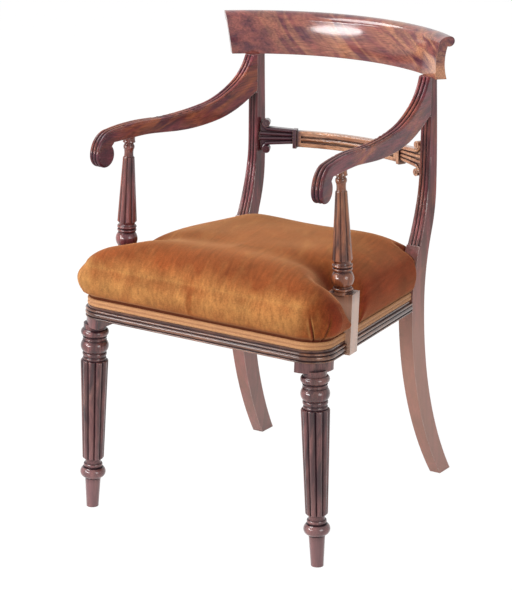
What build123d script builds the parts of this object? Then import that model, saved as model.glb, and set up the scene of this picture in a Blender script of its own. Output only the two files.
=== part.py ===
from build123d import *
import os
from math import asin, atan2, cos, degrees, pi, radians, sin, sqrt, tan

# Mahogany elbow chair with reeded front legs, sabre back legs, scrolled arms and a
# stuffed-over seat. Millimetres and degrees. The chair faces -Y, +X is on the right seen
# from the front, and the feet stand on z = 0. The pieces of the right side are built and
# the left ones are their mirror images.

# ---------------------------------------------------------------- driving dimensions
CLEAR = 0.2  # fit of a tenon in its mortise, and of one piece round another

# the seat frame lies in one plane that falls a little to the back
RAIL_BOTTOM_Z = 370  # underside of the front moulding
SEAT_TILT = 2.6
FRONT_Y = -280  # outer face of the front moulding
SEAT_HALF_WIDTH = 263  # to the outer face of the side mouldings, at the front
SIDE_ANGLE = 8.04  # each side runs in towards the back
SEAT_DEPTH = 417  # from the front moulding to the face of the back posts
CORNER_R = 48
RAIL_H = 60
RAIL_T = 26
BACK_RAIL_INSET = 15  # face of the back rail behind the face of the posts
BACK_RAIL_T = 24
TENON_L = 22
TENON_T = 12
TENON_SHOULDER = 9
BACK_TENON_L = 14  # shorter and thinner tenons into the narrow back posts
BACK_TENON_T = 10
BACK_TENON_SHIFT = 5  # outwards, to the middle of the post

# applied moulding from the bottom up: (height, edge off the rail, how far it swells)
MOULDING_T = 8
MOULDING = [(3.2, 6.2, 1.2), (1.2, 5.0, 0), (7.6, 6.0, 2), (1.2, 5.0, 0), (4.3, 6.0, 1.6), (4.5, 3.5, 0)]
FRONT_STRIP = 352  # straight strip between the corner strips

# front legs
LEG_SETBACK = 28  # axis behind the outer face of the mouldings
LEG_SPLAY = 1.85
BLOCK_W = 51
BLOCK_INSET = 2.5  # block behind the face of the mouldings
BLOCK_DROP = 18  # block below the front moulding
LEG_REEDS = 10
LEG_REED_TURN = -5
LEG_REED_R = (19.6, 25.2)  # at the foot and at the top
LEG_REED_L = 192
REED_CUSP = 0.83  # floor of the grooves between reeds, over the full radius
REED_CORE = 0.97  # core of a reeded shaft, over the floor of its grooves
# turned members, from 3 inside the block down to the reeds: (height, radius, swell)
LEG_COLLAR = [
    (10, 20.5, 0), (13, 21, 4.3), (2, 20.5, 0), (5, 22, -1.2), (2, 20.5, 0), (21, 21, 4.4),
    (1.5, 20.5, 0), (6, 21.2, 0.9), (3.5, 20.2, -0.8), (4.5, 20.8, 0.6),
]
# and from the reeds down to the toe
LEG_ANKLE = [(9.5, 15, -0.9), (5.5, 16.6, 0.8), (2.5, 15.5, 0), (18, 18.6, 4.8), (3, 15, -0.6)]
TOE_R = (14.4, 11)

# back posts: the face runs down straight from the crest rail, then in arcs to the foot,
# each (radius, degrees, + towards the back); the back face likewise
POST_FACE = 57  # face beside the back rest, behind the face at the seat
POST_STRAIGHT_Z = 620
POST_FACE_ARCS = [(355, -25), (255.6, 25), (640.8, 35.5)]
POST_TOP_T = 23
POST_BACK_LEAN = 7
POST_BACK_ARCS = [(1205, -10), (248, -19), (342, 22), (670, 34.5)]
# and seen from the front: (height, outer face beyond the post at the seat, width)
POST_FRONT = [(0, 10.3, 22), (360, 0, 29), (470, -2, 27), (575, -5.5, 21), (780, -8, 20.5)]
POST_INSET = 0.8  # outer face inside the face of the side mouldings
POST_REED_R = 3.4
POST_REED_PITCH = 6.6
POST_REED_INSET = 16.4  # middle reed from the outer face of the post at the seat
POST_REED_TOP_Z = 706

# crest rail: a bent board with its top rolled over to the back
CREST_Z = 780
CREST_R = 331
CREST_FACE_H = 65
CREST_BELLY = 2.5  # swell of the face at the middle of its height
CREST_ROUND_H = 14.5
CREST_BOTTOM_T = 20.5
CREST_WAIST_T = 14
CREST_WAIST_H = 42
CREST_ROLL_R = 9.5
CREST_ROLL_SETBACK = 20
CREST_ROLL_END = 70  # where the roll meets the hollow back, below its middle
CREST_OVERHANG = 33  # ends of the crest rail beyond the middle of the posts
CREST_FLARE = 9
CREST_LAP = 2  # crest's face behind the face of the posts
DOWEL_R = 5  # round tenon of the post in the crest rail
DOWEL_L = 20

# middle rail
MID_Z = 617.5
MID_H = 31
MID_T = 15
MID_SETBACK = 3.5  # behind the face of the crest rail
MID_EDGE_R = 3
MID_TENON = (15.5, 8.25, 3)  # height, thickness, and how far behind the face
MID_PANEL = (13.5, 2.5)  # height and depth of the sunk panel
MID_REED_R = 4
MID_PANEL_END = 73.1  # ends of the panel, collars and carving inside the posts' inner faces
COLLAR_END = 64.4
COLLAR_H = 37
COLLAR_SPAN = 1.2
COLLAR_PROUD = 2
COLLAR_EDGE_R = 2.5
CARVED_END = 32.8
CARVED_RISE = 3.5
RIB_R = 3.6  # ribs of the carved ends, the outer ones curling into volutes
RIB_PITCH = 6.6
RIB_BEND_R = 12
RIB_FAN = 4
VOLUTE_R = 7.2
VOLUTE_EYE_R = 2.6
VOLUTE_PROUD = (0.7, 1.7)  # volute and its eye, over the ribs
VOLUTE_REACH = 31  # back of the volutes from the middle of the carved end

# arms
ARM_T = 22
ARM_INSET = 16.8  # middle of the arm from the outer face of the post at the seat
ARM_REACH = 427.5  # from the post to the centre of the scroll
ARM_ANGLE = 5.3
SCROLL_Z = 660
SCROLL_R = 22
NOSE_R = 42.5
ARM_DEPTH = 22  # under the nose
ARM_REED_R = 3.75
ARM_REED_PITCH = 7.15
ARM_NOSE_TURN = 83
# top line from the nose to the post, and the underside: (radius, degrees, + upwards)
ARM_TOP_ARCS = [(530, -11.5), (880, 10.5), (240, 24), (100, 52)]
ARM_FLAT = 69
ARM_DIP = (400, -6)
ARM_UNDER_L = 48
ARM_UNDER_ARCS = [(620, 12), (300, 18)]
ARM_TENON = (12, 10, 725, 765)  # length, thickness, bottom and top height

# arm supports
SUPPORT_SETBACK = 120.5  # axis behind the front moulding
SUPPORT_BLOCK = (46, 33)  # across and along the rail
SUPPORT_PROUD = 5  # block beyond the side mouldings
SUPPORT_DROP = 3  # block below the side mouldings
SUPPORT_BLOCK_Z = 468
SUPPORT_REEDS = 8
SUPPORT_REED_R = (17.9, 10.5)
SUPPORT_REED_L = 121
# turned members from 3 inside the block up to the reeds: (height, radius, swell)
SUPPORT_BASE = [
    (5, 17, 0), (6, 16.2, 1.6), (2.5, 15, 0), (26, 14.8, 5.2), (1.5, 14.8, 0),
    (5, 15.8, 1.7), (1.2, 15, 0), (5, 16, 1.7), (6, 15.4, -0.8),
]
# and from the reeds up to the arm
SUPPORT_NECK = [(14, 8.8, -0.6), (8, 9, 1.2), (5, 8.8, -0.6), (12, 11.5, -1)]
PIN_R = 6
PIN_L = 14

# seat
WEB_T = 1.2
WEB_W = 50
WEB_PITCH = (82, 96)  # of the bands that run front to back, and across
WEB_COUNT = 4  # each way
HESSIAN_T = 0.8
COVER_T = 1.5
COVER_GAP = 0.3
CUSHION_EASE = 1  # of the cushion round posts and arm supports
CUSHION_BELLY = (52, 97, 6)  # bottom and top height of the swelling side, and its swell
CUSHION_CROWN = (38, 135)  # rise of the top over the side, and how far in it still rises
CUSHION_CORNER = 8  # corner radius of the cushion between the back posts
CORNER_OPEN = (0.06, 0.15)  # growth of the front and back corners up the crown, per mm inwards
BRAID = [(1.6, 0.9, 0), (4.6, 0.9, 1.3), (1.6, 0.9, 0), (4.6, 0.9, 1.3), (1.6, 0.9, 0)]

# corner blocks and screws
CORNER_BLOCK_Z = 14
CORNER_BLOCK_H = 32
CORNER_BLOCK_LEG = 50  # along each rail
CORNER_SCREW = 27  # from the leg or post, along each rail
SCREW_R = 2
SCREW_HEAD_R = 4
SCREW_HEAD_H = 2.5
SCREW_L = 32
SCREW_BITE = 18  # in the rail
SUPPORT_SCREWS = (18, 24)  # pitch along the rail, and height

# ---------------------------------------------------------------- frames and derived sizes
SEAT = Plane(
    origin=(0, FRONT_Y, RAIL_BOTTOM_Z),
    x_dir=(1, 0, 0),
    z_dir=(0, sin(radians(SEAT_TILT)), cos(radians(SEAT_TILT))),
)
# along the right side rail: local x points out of the chair, local y towards the back
SIDE = Plane(SEAT.location * Location((SEAT_HALF_WIDTH, 0, 0), (0, 0, SIDE_ANGLE)))


def side_x(depth, inset=0):
    """Half width of the seat at a depth behind the front moulding."""
    return SEAT_HALF_WIDTH - depth * tan(radians(SIDE_ANGLE)) - inset / cos(radians(SIDE_ANGLE))


def side_run(depth, inset=0):
    """Distance along the side rail at a depth behind the front moulding."""
    return (depth + inset * sin(radians(SIDE_ANGLE))) / cos(radians(SIDE_ANGLE))


RAIL_MID = MOULDING_T + RAIL_T / 2
RAIL_BACK = MOULDING_T + RAIL_T  # inner face of a rail
MOULDING_H = sum(member[0] for member in MOULDING)

LEG_X = side_x(LEG_SETBACK) - LEG_SETBACK
LEG_Y = FRONT_Y + LEG_SETBACK
LEG_INNER_X = LEG_X - BLOCK_W / 2
LEG_BACK = LEG_SETBACK + BLOCK_W / 2
LEG_BLOCK_Z = RAIL_BOTTOM_Z - BLOCK_DROP
LEG_PLANE = Plane(
    origin=(LEG_X, LEG_Y, LEG_BLOCK_Z),
    x_dir=(cos(radians(LEG_SPLAY)), 0, sin(radians(LEG_SPLAY))),
    z_dir=(0, -1, 0),
)
COLLAR_TOP = 3  # turned parts start this far inside their block
LEG_REED_TOP = COLLAR_TOP - sum(member[0] for member in LEG_COLLAR)
LEG_REED_FOOT = LEG_REED_TOP - LEG_REED_L
TOE_TOP = LEG_REED_FOOT - sum(member[0] for member in LEG_ANKLE)

POST_Y = FRONT_Y + SEAT_DEPTH
POST_FACE_Y = POST_Y + POST_FACE
POST_X = side_x(SEAT_DEPTH) - POST_INSET
POST_INNER_X = POST_X - POST_FRONT[1][2]
POST_TOP_X = POST_X + POST_FRONT[-1][1] - POST_FRONT[-1][2] / 2

POST_REED_X = POST_X - POST_REED_INSET

CREST_Y = POST_FACE_Y + CREST_LAP - sqrt(CREST_R**2 - POST_TOP_X**2)
CREST_HALF_ANGLE = degrees(asin((POST_TOP_X + CREST_OVERHANG) / CREST_R))
MID_R = CREST_R - MID_SETBACK
MID_PANEL_ANGLE = degrees(asin((POST_INNER_X - MID_PANEL_END) / MID_R))
COLLAR_ANGLE = degrees(asin((POST_INNER_X - COLLAR_END) / MID_R))
CARVED_ANGLE = degrees(asin((POST_INNER_X - CARVED_END) / MID_R))
DOWEL_Y = POST_FACE_Y + POST_TOP_T / 2 + CREST_LAP / 2

ARM_X = POST_X - ARM_INSET
ARM_PLANE = Plane(
    origin=(ARM_X, POST_FACE_Y, 0),
    x_dir=(-sin(radians(ARM_ANGLE)), cos(radians(ARM_ANGLE)), 0),
    z_dir=(cos(radians(ARM_ANGLE)), sin(radians(ARM_ANGLE)), 0),
)
SCROLL_X = -ARM_REACH
NOSE_X = SCROLL_X - SCROLL_R + NOSE_R
ARM_UNDER_Z = SCROLL_Z + NOSE_R - ARM_DEPTH

SUPPORT_Y = FRONT_Y + SUPPORT_SETBACK
SUPPORT_X = side_x(SUPPORT_SETBACK) + SUPPORT_PROUD - SUPPORT_BLOCK[0] / 2
SUPPORT_TOP_X = ARM_X + (POST_FACE_Y - SUPPORT_Y) * tan(radians(ARM_ANGLE))
SUPPORT_LEAN = atan2(SUPPORT_X - SUPPORT_TOP_X, ARM_UNDER_Z - SUPPORT_BLOCK_Z)
SUPPORT_PLANE = Plane(
    origin=(SUPPORT_X, SUPPORT_Y, SUPPORT_BLOCK_Z),
    x_dir=(cos(SUPPORT_LEAN), 0, sin(SUPPORT_LEAN)),
    z_dir=(0, -1, 0),
)
SUPPORT_REED_FOOT = sum(member[0] for member in SUPPORT_BASE) - COLLAR_TOP
SUPPORT_REED_TOP = SUPPORT_REED_FOOT + SUPPORT_REED_L
SUPPORT_BLOCK_H = SUPPORT_BLOCK_Z - RAIL_BOTTOM_Z
SUPPORT_RUN = side_run(
    SUPPORT_SETBACK - SUPPORT_BLOCK_H / 2 * tan(radians(SEAT_TILT)),
    SUPPORT_BLOCK[0] / 2 - SUPPORT_PROUD,
)

BACK_RAIL = SEAT_DEPTH + BACK_RAIL_INSET  # faces of the back rail behind the front moulding
BACK_RAIL_OUT = BACK_RAIL + BACK_RAIL_T
HESSIAN_Z = RAIL_H + 2 * WEB_T
PAD_Z = HESSIAN_Z + HESSIAN_T
COVER_FOOT = MOULDING_H + COVER_GAP
COVER_INSET = MOULDING_T - COVER_GAP - COVER_T
BRAID_H = sum(member[0] for member in BRAID)
COVER_WALL = COVER_FOOT + BRAID_H + 2 * WEB_T  # the cover is upright up to here, behind the braid


# ---------------------------------------------------------------- helpers
def save(part, label):
    part.label = label
    export_step(part, f"parts/{label}.step")


def save_pair(part, label):
    """Write a right-hand piece and its mirror image."""
    save(part, f"right_{label}")
    with BuildPart() as other:
        mirror(part, about=Plane.YZ)
    save(other.part, f"left_{label}")


def box(frame, low, high, mode=Mode.ADD):
    """Rectangular block between two corners given in a frame."""
    with Locations(frame.location * Location(low)):
        Box(
            high[0] - low[0],
            high[1] - low[1],
            high[2] - low[2],
            align=(Align.MIN, Align.MIN, Align.MIN),
            mode=mode,
        )


def arcs(before, chain):
    """Tangent arcs that carry on from a line, each (radius, degrees, + to the left)."""
    for radius, turn in chain:
        before = JernArc(before @ 1, before % 1, radius, turn)
    return before


def members_outline(members, start, step=1):
    """Profile of turned or moulded members against the local y axis; step -1 runs down."""
    height = start
    edge = (0, start)
    with BuildLine() as outline:
        for length, radius, swell in members:
            if edge != (radius, height):
                Line(edge, (radius, height))
            edge = (radius, height + step * length)
            if swell:
                ThreePointArc((radius, height), (radius + swell, height + step * length / 2), edge)
            else:
                Line((radius, height), edge)
            height = edge[1]
        Polyline(edge, (0, height), (0, start))
    make_face(outline.edges())


def across(axis_plane, along):
    """Plane square to the y axis of a turning's plane, at a distance along it."""
    origin = axis_plane.from_local_coords((0, along, 0))
    return Plane(origin=origin, x_dir=axis_plane.x_dir, z_dir=axis_plane.y_dir)


def reeded_shaft(axis_plane, foot, top, radii, count, turn=0):
    """Tapered shaft of touching half-round reeds, rounded off at both ends."""
    ring = (1 - REED_CUSP**2) / (2 - 2 * REED_CUSP * cos(pi / count))
    with BuildPart() as shaft:
        for along, radius in zip((foot, top), radii):
            with BuildSketch(across(axis_plane, along)):
                Circle(REED_CORE * REED_CUSP * radius)
                with PolarLocations(ring * radius, count, start_angle=turn):
                    Circle((1 - ring) * radius)
        loft(ruled=True)
        core = [REED_CUSP * radius for radius in radii]
        end = [radius - inner for radius, inner in zip(radii, core)]
        with BuildSketch(axis_plane):
            with BuildLine():
                Polyline((core[0], foot), (0, foot), (0, top), (core[1], top))
                low = RadiusArc((core[0], foot), (radii[0], foot + end[0]), -end[0])
                high = RadiusArc((core[1], top), (radii[1], top - end[1]), end[1])
                Line(low @ 1, high @ 1)
            make_face()
        revolve(axis=Axis(axis_plane.origin, axis_plane.y_dir), mode=Mode.INTERSECT)
    return shaft.part


def seat_outline(inset, back, back_radius=1):
    """Plan of the seat with its round front corners, set inside the mouldings."""
    front_radius = CORNER_R - min(inset, COVER_INSET) + CORNER_OPEN[0] * max(0, inset - COVER_INSET)
    with BuildLine() as outline:
        FilletPolyline(
            (-side_x(inset, inset), inset),
            (side_x(inset, inset), inset),
            (side_x(back, inset), back),
            (-side_x(back, inset), back),
            radius=[front_radius, front_radius, back_radius, back_radius],
            close=True,
        )
    make_face(outline.edges())


def post_face_line(shift=0):
    """Face of a back post in side view, from above the crest rail down to below the floor."""
    y = POST_FACE_Y - shift
    straight = Line((y, CREST_Z + CREST_FACE_H), (y, POST_STRAIGHT_Z))
    return arcs(straight, POST_FACE_ARCS)


def behind_post_face(shift, inner_x):
    """All that lies behind the face of the right post, brought forward by shift."""
    top = CREST_Z + CREST_FACE_H
    with BuildPart() as space:
        with BuildSketch(Plane.YZ.offset(inner_x)):
            with BuildLine():
                foot = post_face_line(shift)
                Polyline(
                    foot @ 1,
                    (2 * SEAT_DEPTH, (foot @ 1).Y),
                    (2 * SEAT_DEPTH, top),
                    (POST_FACE_Y - shift, top),
                )
            make_face()
        extrude(amount=SEAT_HALF_WIDTH)
    return space.part


# ---------------------------------------------------------------- tenons and screws
def front_rail_tenon(fit, mode):
    low = (LEG_INNER_X - TENON_T, RAIL_MID - TENON_T / 2 - fit, TENON_SHOULDER - fit)
    high = (LEG_INNER_X + TENON_L + 2 * fit, RAIL_MID + TENON_T / 2 + fit, RAIL_H - TENON_SHOULDER + fit)
    box(SEAT, low, high, mode)


def side_rail_front_tenon(fit, mode):
    run = side_run(LEG_BACK, RAIL_MID)
    low = (-RAIL_MID - TENON_T / 2 - fit, run - TENON_L - 2 * fit, TENON_SHOULDER - fit)
    high = (-RAIL_MID + TENON_T / 2 + fit, run + TENON_T, RAIL_H - TENON_SHOULDER + fit)
    box(SIDE, low, high, mode)


def side_rail_back_tenon(fit, mode):
    middle = -RAIL_MID + BACK_TENON_SHIFT
    run = side_run(SEAT_DEPTH, RAIL_MID)
    low = (middle - BACK_TENON_T / 2 - fit, run - TENON_T, TENON_SHOULDER - fit)
    high = (middle + BACK_TENON_T / 2 + fit, run + BACK_TENON_L + 2 * fit, RAIL_H - TENON_SHOULDER + fit)
    box(SIDE, low, high, mode)


def back_rail_tenon(fit, mode):
    middle = BACK_RAIL + BACK_RAIL_T / 2
    low = (POST_INNER_X - TENON_T, middle - TENON_T / 2 - fit, TENON_SHOULDER - fit)
    high = (POST_INNER_X + BACK_TENON_L + 2 * fit, middle + TENON_T / 2 + fit, RAIL_H - TENON_SHOULDER + fit)
    box(SEAT, low, high, mode)


def crest_dowel(fit, mode):
    with Locations((POST_TOP_X, DOWEL_Y, CREST_Z - DOWEL_R)):
        height = DOWEL_L + DOWEL_R + 2 * fit
        Cylinder(DOWEL_R + fit, height, align=(Align.CENTER, Align.CENTER, Align.MIN), mode=mode)


def mid_rail_tenon(fit, mode):
    root = POST_INNER_X - mid_tangent_plane().origin.X
    height, thick, behind = MID_TENON
    low = (root / 2, -height / 2 - fit, -behind - thick - fit)
    high = (root + TENON_L + 2 * fit, height / 2 + fit, -behind + fit)
    box(mid_tangent_plane(), low, high, mode)


def arm_tenon(fit, mode):
    length, thick, low_z, high_z = ARM_TENON
    frame = Plane(origin=(ARM_X, POST_FACE_Y, 0))
    low = (-thick / 2 - fit, -thick / 2, low_z - fit)
    high = (thick / 2 + fit, length + 2 * fit, high_z + fit)
    box(frame, low, high, mode)


def support_pin(fit, mode):
    with Locations((SUPPORT_TOP_X, SUPPORT_Y, ARM_UNDER_Z - PIN_R)):
        height = PIN_L + PIN_R + 2 * fit
        Cylinder(PIN_R + fit, height, align=(Align.CENTER, Align.CENTER, Align.MIN), mode=mode)


def screw(frame, fit=0, sink=0, mode=Mode.ADD):
    """Countersunk screw driven along a frame's z axis from its origin; sink clears its way in."""
    upright = (Align.CENTER, Align.CENTER, Align.MIN)
    with Locations(frame):
        Cone(SCREW_HEAD_R + fit, SCREW_R + fit, SCREW_HEAD_H, align=upright, mode=mode)
        Cylinder(SCREW_R + fit, SCREW_L + fit, align=upright, mode=mode)
    if sink:
        with Locations(frame.offset(-sink)):
            Cylinder(SCREW_HEAD_R + fit, sink, align=upright, mode=mode)


def corner_screw_frames():
    """Where the screws of the right corner blocks start, two to a block."""
    height = CORNER_BLOCK_Z + CORNER_BLOCK_H / 2
    wood = SCREW_L - SCREW_BITE  # of the block under the head
    near_front = side_run(LEG_BACK, RAIL_BACK) + CORNER_SCREW
    near_back = side_run(SEAT_DEPTH, RAIL_BACK) - CORNER_SCREW
    frames = []
    for run in (near_front, near_back):
        start = SIDE.from_local_coords((-RAIL_BACK - wood, run, height))
        frames.append(Plane(origin=start, z_dir=SIDE.x_dir))
    start = SEAT.from_local_coords((LEG_INNER_X - CORNER_SCREW, RAIL_BACK + wood, height))
    frames.append(Plane(origin=start, z_dir=-SEAT.y_dir))
    start = SEAT.from_local_coords((POST_INNER_X - CORNER_SCREW, BACK_RAIL - wood, height))
    frames.append(Plane(origin=start, z_dir=SEAT.y_dir))
    return frames


def support_screw_frames():
    """Where the screws of the right arm support start, in the inner face of the rail."""
    pitch, height = SUPPORT_SCREWS
    frames = []
    for run in (SUPPORT_RUN - pitch / 2, SUPPORT_RUN + pitch / 2):
        start = SIDE.from_local_coords((-RAIL_BACK, run, height))
        frames.append(Plane(origin=start, z_dir=SIDE.x_dir))
    return frames


# ---------------------------------------------------------------- back posts
def post_blank():
    """Back leg and stile as sawn: its side view crossed with its front view."""
    top = CREST_Z + CREST_FACE_H
    back_y = POST_FACE_Y + POST_TOP_T
    with BuildPart() as blank:
        with BuildSketch(Plane.YZ):
            with BuildLine():
                face = post_face_line()
                start = (back_y - CREST_FACE_H * tan(radians(POST_BACK_LEAN)), top)
                back = arcs(Line(start, (back_y, CREST_Z)), POST_BACK_ARCS)
                Line(face @ 1, back @ 1)
                Line((POST_FACE_Y, top), start)
            make_face()
        extrude(amount=SEAT_HALF_WIDTH)
        with BuildSketch(Plane.XZ):
            with BuildLine():
                outer = Spline([(POST_X + out, height) for height, out, width in POST_FRONT])
                inner = Spline([(POST_X + out - width, height) for height, out, width in POST_FRONT])
                Line(outer @ 0, inner @ 0)
                Line(outer @ 1, inner @ 1)
            make_face()
        extrude(amount=SEAT_DEPTH, both=True, mode=Mode.INTERSECT)
    return blank.part


def rear_post(blank):
    inset = POST_FACE_Y + POST_REED_R
    bend_radius, bend = POST_FACE_ARCS[0]
    with BuildPart() as post:
        add(blank)
        with BuildLine(Plane.YZ.offset(POST_REED_X)) as path:
            straight = Line((inset, POST_REED_TOP_Z), (inset, POST_STRAIGHT_Z))
            arcs(straight, [(bend_radius + POST_REED_R, bend)])
        reed_end = Plane(origin=path.line @ 0, x_dir=(1, 0, 0), z_dir=path.line % 0)
        with BuildSketch(reed_end):
            with Locations((0, POST_REED_R)):
                Rectangle(2 * POST_FRONT[0][2], 2 * POST_REED_R)
        sweep(path=path.line, mode=Mode.SUBTRACT)
        with BuildSketch(reed_end):
            with GridLocations(POST_REED_PITCH, 0, 3, 1):
                Circle(POST_REED_R)
        sweep(path=path.line)
        crest_dowel(0, Mode.ADD)
        side_rail_back_tenon(CLEAR, Mode.SUBTRACT)
        back_rail_tenon(CLEAR, Mode.SUBTRACT)
        mid_rail_tenon(CLEAR, Mode.SUBTRACT)
        arm_tenon(CLEAR, Mode.SUBTRACT)
    return post.part


# ---------------------------------------------------------------- front legs
def leg_plan(inset):
    """Plan of the leg block, its outer corner cut to the round corner of the seat."""
    seat_outline(inset, SEAT_DEPTH)
    with Locations((LEG_INNER_X, 0)):
        Rectangle(2 * BLOCK_W, LEG_BACK, align=(Align.MIN, Align.MIN), mode=Mode.INTERSECT)


def front_leg():
    shaft = reeded_shaft(LEG_PLANE, LEG_REED_FOOT, LEG_REED_TOP, LEG_REED_R, LEG_REEDS, LEG_REED_TURN)
    axis = Axis(LEG_PLANE.origin, LEG_PLANE.y_dir)
    with BuildPart() as leg:
        with BuildSketch(SEAT.offset(-2 * BLOCK_DROP)):
            leg_plan(BLOCK_INSET)
        extrude(amount=2 * BLOCK_DROP)
        with BuildSketch(SEAT):
            leg_plan(MOULDING_T)
        extrude(amount=RAIL_H)
        split(bisect_by=Plane.XY.offset(LEG_BLOCK_Z), keep=Keep.TOP)
        front_rail_tenon(CLEAR, Mode.SUBTRACT)
        side_rail_front_tenon(CLEAR, Mode.SUBTRACT)
        add(shaft)
        with BuildSketch(LEG_PLANE):
            members_outline(LEG_COLLAR, COLLAR_TOP, -1)
        revolve(axis=axis)
        with BuildSketch(LEG_PLANE):
            members_outline(LEG_ANKLE, LEG_REED_FOOT, -1)
        revolve(axis=axis)
        with BuildSketch(LEG_PLANE):
            foot = -LEG_BLOCK_Z - COLLAR_TOP
            Polygon((0, TOE_TOP), (TOE_R[0], TOE_TOP), (TOE_R[1], foot), (0, foot), align=None)
        revolve(axis=axis)
        split(bisect_by=Plane.XY, keep=Keep.TOP)
    return leg.part


# ---------------------------------------------------------------- seat rails and blocks
def front_rail(screws):
    with BuildPart() as rail:
        box(SEAT, (0, MOULDING_T, 0), (LEG_INNER_X, RAIL_BACK, RAIL_H))
        front_rail_tenon(0, Mode.ADD)
        add(screws, mode=Mode.SUBTRACT)
        mirror(about=Plane.YZ)
    return rail.part


def side_rail(post_space, screws):
    with BuildPart() as rail:
        box(SIDE, (-RAIL_BACK, 0, 0), (-MOULDING_T, SEAT_DEPTH + RAIL_BACK, RAIL_H))
        leg_face = Plane(origin=SEAT.from_local_coords((0, LEG_BACK, 0)), z_dir=SEAT.y_dir)
        split(bisect_by=leg_face, keep=Keep.TOP)
        add(post_space, mode=Mode.SUBTRACT)
        side_rail_front_tenon(0, Mode.ADD)
        side_rail_back_tenon(0, Mode.ADD)
        add(screws, mode=Mode.SUBTRACT)
    return rail.part


def back_rail(blank, screws):
    with BuildPart() as rail:
        box(SEAT, (0, BACK_RAIL, 0), (POST_INNER_X + BACK_TENON_T, BACK_RAIL_OUT, RAIL_H))
        add(blank, mode=Mode.SUBTRACT)
        back_rail_tenon(0, Mode.ADD)
        add(screws, mode=Mode.SUBTRACT)
        mirror(about=Plane.YZ)
    return rail.part


def corner_block(corner, screws):
    """Glued and screwed block in a corner of the frame, cut round the leg or post."""
    with BuildPart() as block:
        with BuildSketch(SEAT.offset(CORNER_BLOCK_Z)):
            Polygon(*corner, align=None)
        extrude(amount=CORNER_BLOCK_H)
        add(screws, mode=Mode.SUBTRACT)
    return block.part


def front_corner():
    leg_x = LEG_INNER_X - CLEAR
    depth = LEG_BACK + CLEAR
    return [
        (leg_x - CORNER_BLOCK_LEG, RAIL_BACK),
        (leg_x, RAIL_BACK),
        (leg_x, depth),
        (side_x(depth, RAIL_BACK), depth),
        (side_x(depth + CORNER_BLOCK_LEG, RAIL_BACK), depth + CORNER_BLOCK_LEG),
    ]


def back_corner():
    depth = SEAT_DEPTH - CORNER_BLOCK_LEG
    return [
        (POST_INNER_X - CORNER_BLOCK_LEG, BACK_RAIL),
        (side_x(BACK_RAIL, RAIL_BACK), BACK_RAIL),
        (side_x(depth, RAIL_BACK), depth),
    ]


# ---------------------------------------------------------------- mouldings and braid
def strip_end(origin, outwards):
    """Plane for the end section of a strip: local x outwards, local y up from the seat plane."""
    return Plane(origin=origin, x_dir=outwards, z_dir=outwards.cross(SEAT.z_dir))


def strip_run(members, height, inset, ease, post_space):
    """Straight strip along the right side, from the back post to the arm support."""
    far = SIDE.from_local_coords((-inset, SEAT_DEPTH + RAIL_BACK, height))
    near_run = SUPPORT_RUN + SUPPORT_BLOCK[1] / 2 + ease
    with BuildPart() as strip:
        with BuildSketch(strip_end(far, SIDE.x_dir)):
            members_outline(members, 0)
        extrude(amount=SEAT_DEPTH + RAIL_BACK - near_run)
        add(post_space, mode=Mode.SUBTRACT)
    return strip.part


def strip_start(height, inset, ease):
    run = SUPPORT_RUN - SUPPORT_BLOCK[1] / 2 - ease
    return SIDE.from_local_coords((-inset, run, height))


def corner_moulding():
    start = strip_start(0, MOULDING_T, 0)
    with BuildPart() as strip:
        with BuildLine(SEAT) as path:
            FilletPolyline(
                start,
                (side_x(MOULDING_T, MOULDING_T), MOULDING_T),
                (FRONT_STRIP / 2, MOULDING_T),
                radius=CORNER_R - MOULDING_T,
            )
        with BuildSketch(strip_end(start, SIDE.x_dir)):
            members_outline(MOULDING, 0)
        sweep(path=path.line)
    return strip.part


def front_moulding():
    start = SEAT.from_local_coords((FRONT_STRIP / 2, MOULDING_T, 0))
    with BuildPart() as strip:
        with BuildSketch(strip_end(start, -SEAT.y_dir)):
            members_outline(MOULDING, 0)
        extrude(amount=FRONT_STRIP)
    return strip.part


def front_braid():
    """Braid from one arm support round the front to the other."""
    start = strip_start(COVER_FOOT, COVER_INSET, CLEAR)
    corner_x = side_x(COVER_INSET, COVER_INSET)
    with BuildPart() as strip:
        with BuildLine(SEAT.offset(COVER_FOOT)) as path:
            FilletPolyline(
                start,
                (corner_x, COVER_INSET),
                (-corner_x, COVER_INSET),
                Vector(-start.X, start.Y, start.Z),
                radius=CORNER_R - COVER_INSET,
            )
        with BuildSketch(strip_end(start, SIDE.x_dir)):
            members_outline(BRAID, 0)
        sweep(path=path.line)
    return strip.part


def back_braid():
    half = POST_INNER_X - CUSHION_EASE
    start = SEAT.from_local_coords((-half, cushion_back(COVER_INSET), COVER_FOOT))
    with BuildPart() as strip:
        with BuildSketch(strip_end(start, SEAT.y_dir)):
            members_outline(BRAID, 0)
        extrude(amount=2 * half)
    return strip.part


# ---------------------------------------------------------------- back rest
def radial_plane(angle):
    """Upright plane through the axis of the bent rails: local x from the axis, local y up."""
    turn = radians(angle)
    return Plane(
        origin=(0, CREST_Y, 0),
        x_dir=(sin(turn), cos(turn), 0),
        z_dir=(cos(turn), -sin(turn), 0),
    )


def bent(angle, mode=Mode.ADD):
    """Turn a section on the radial plane at an angle round to the middle of the chair."""
    revolve(axis=Axis((0, CREST_Y, 0), (0, 0, 1)), revolution_arc=angle, mode=mode)


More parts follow.
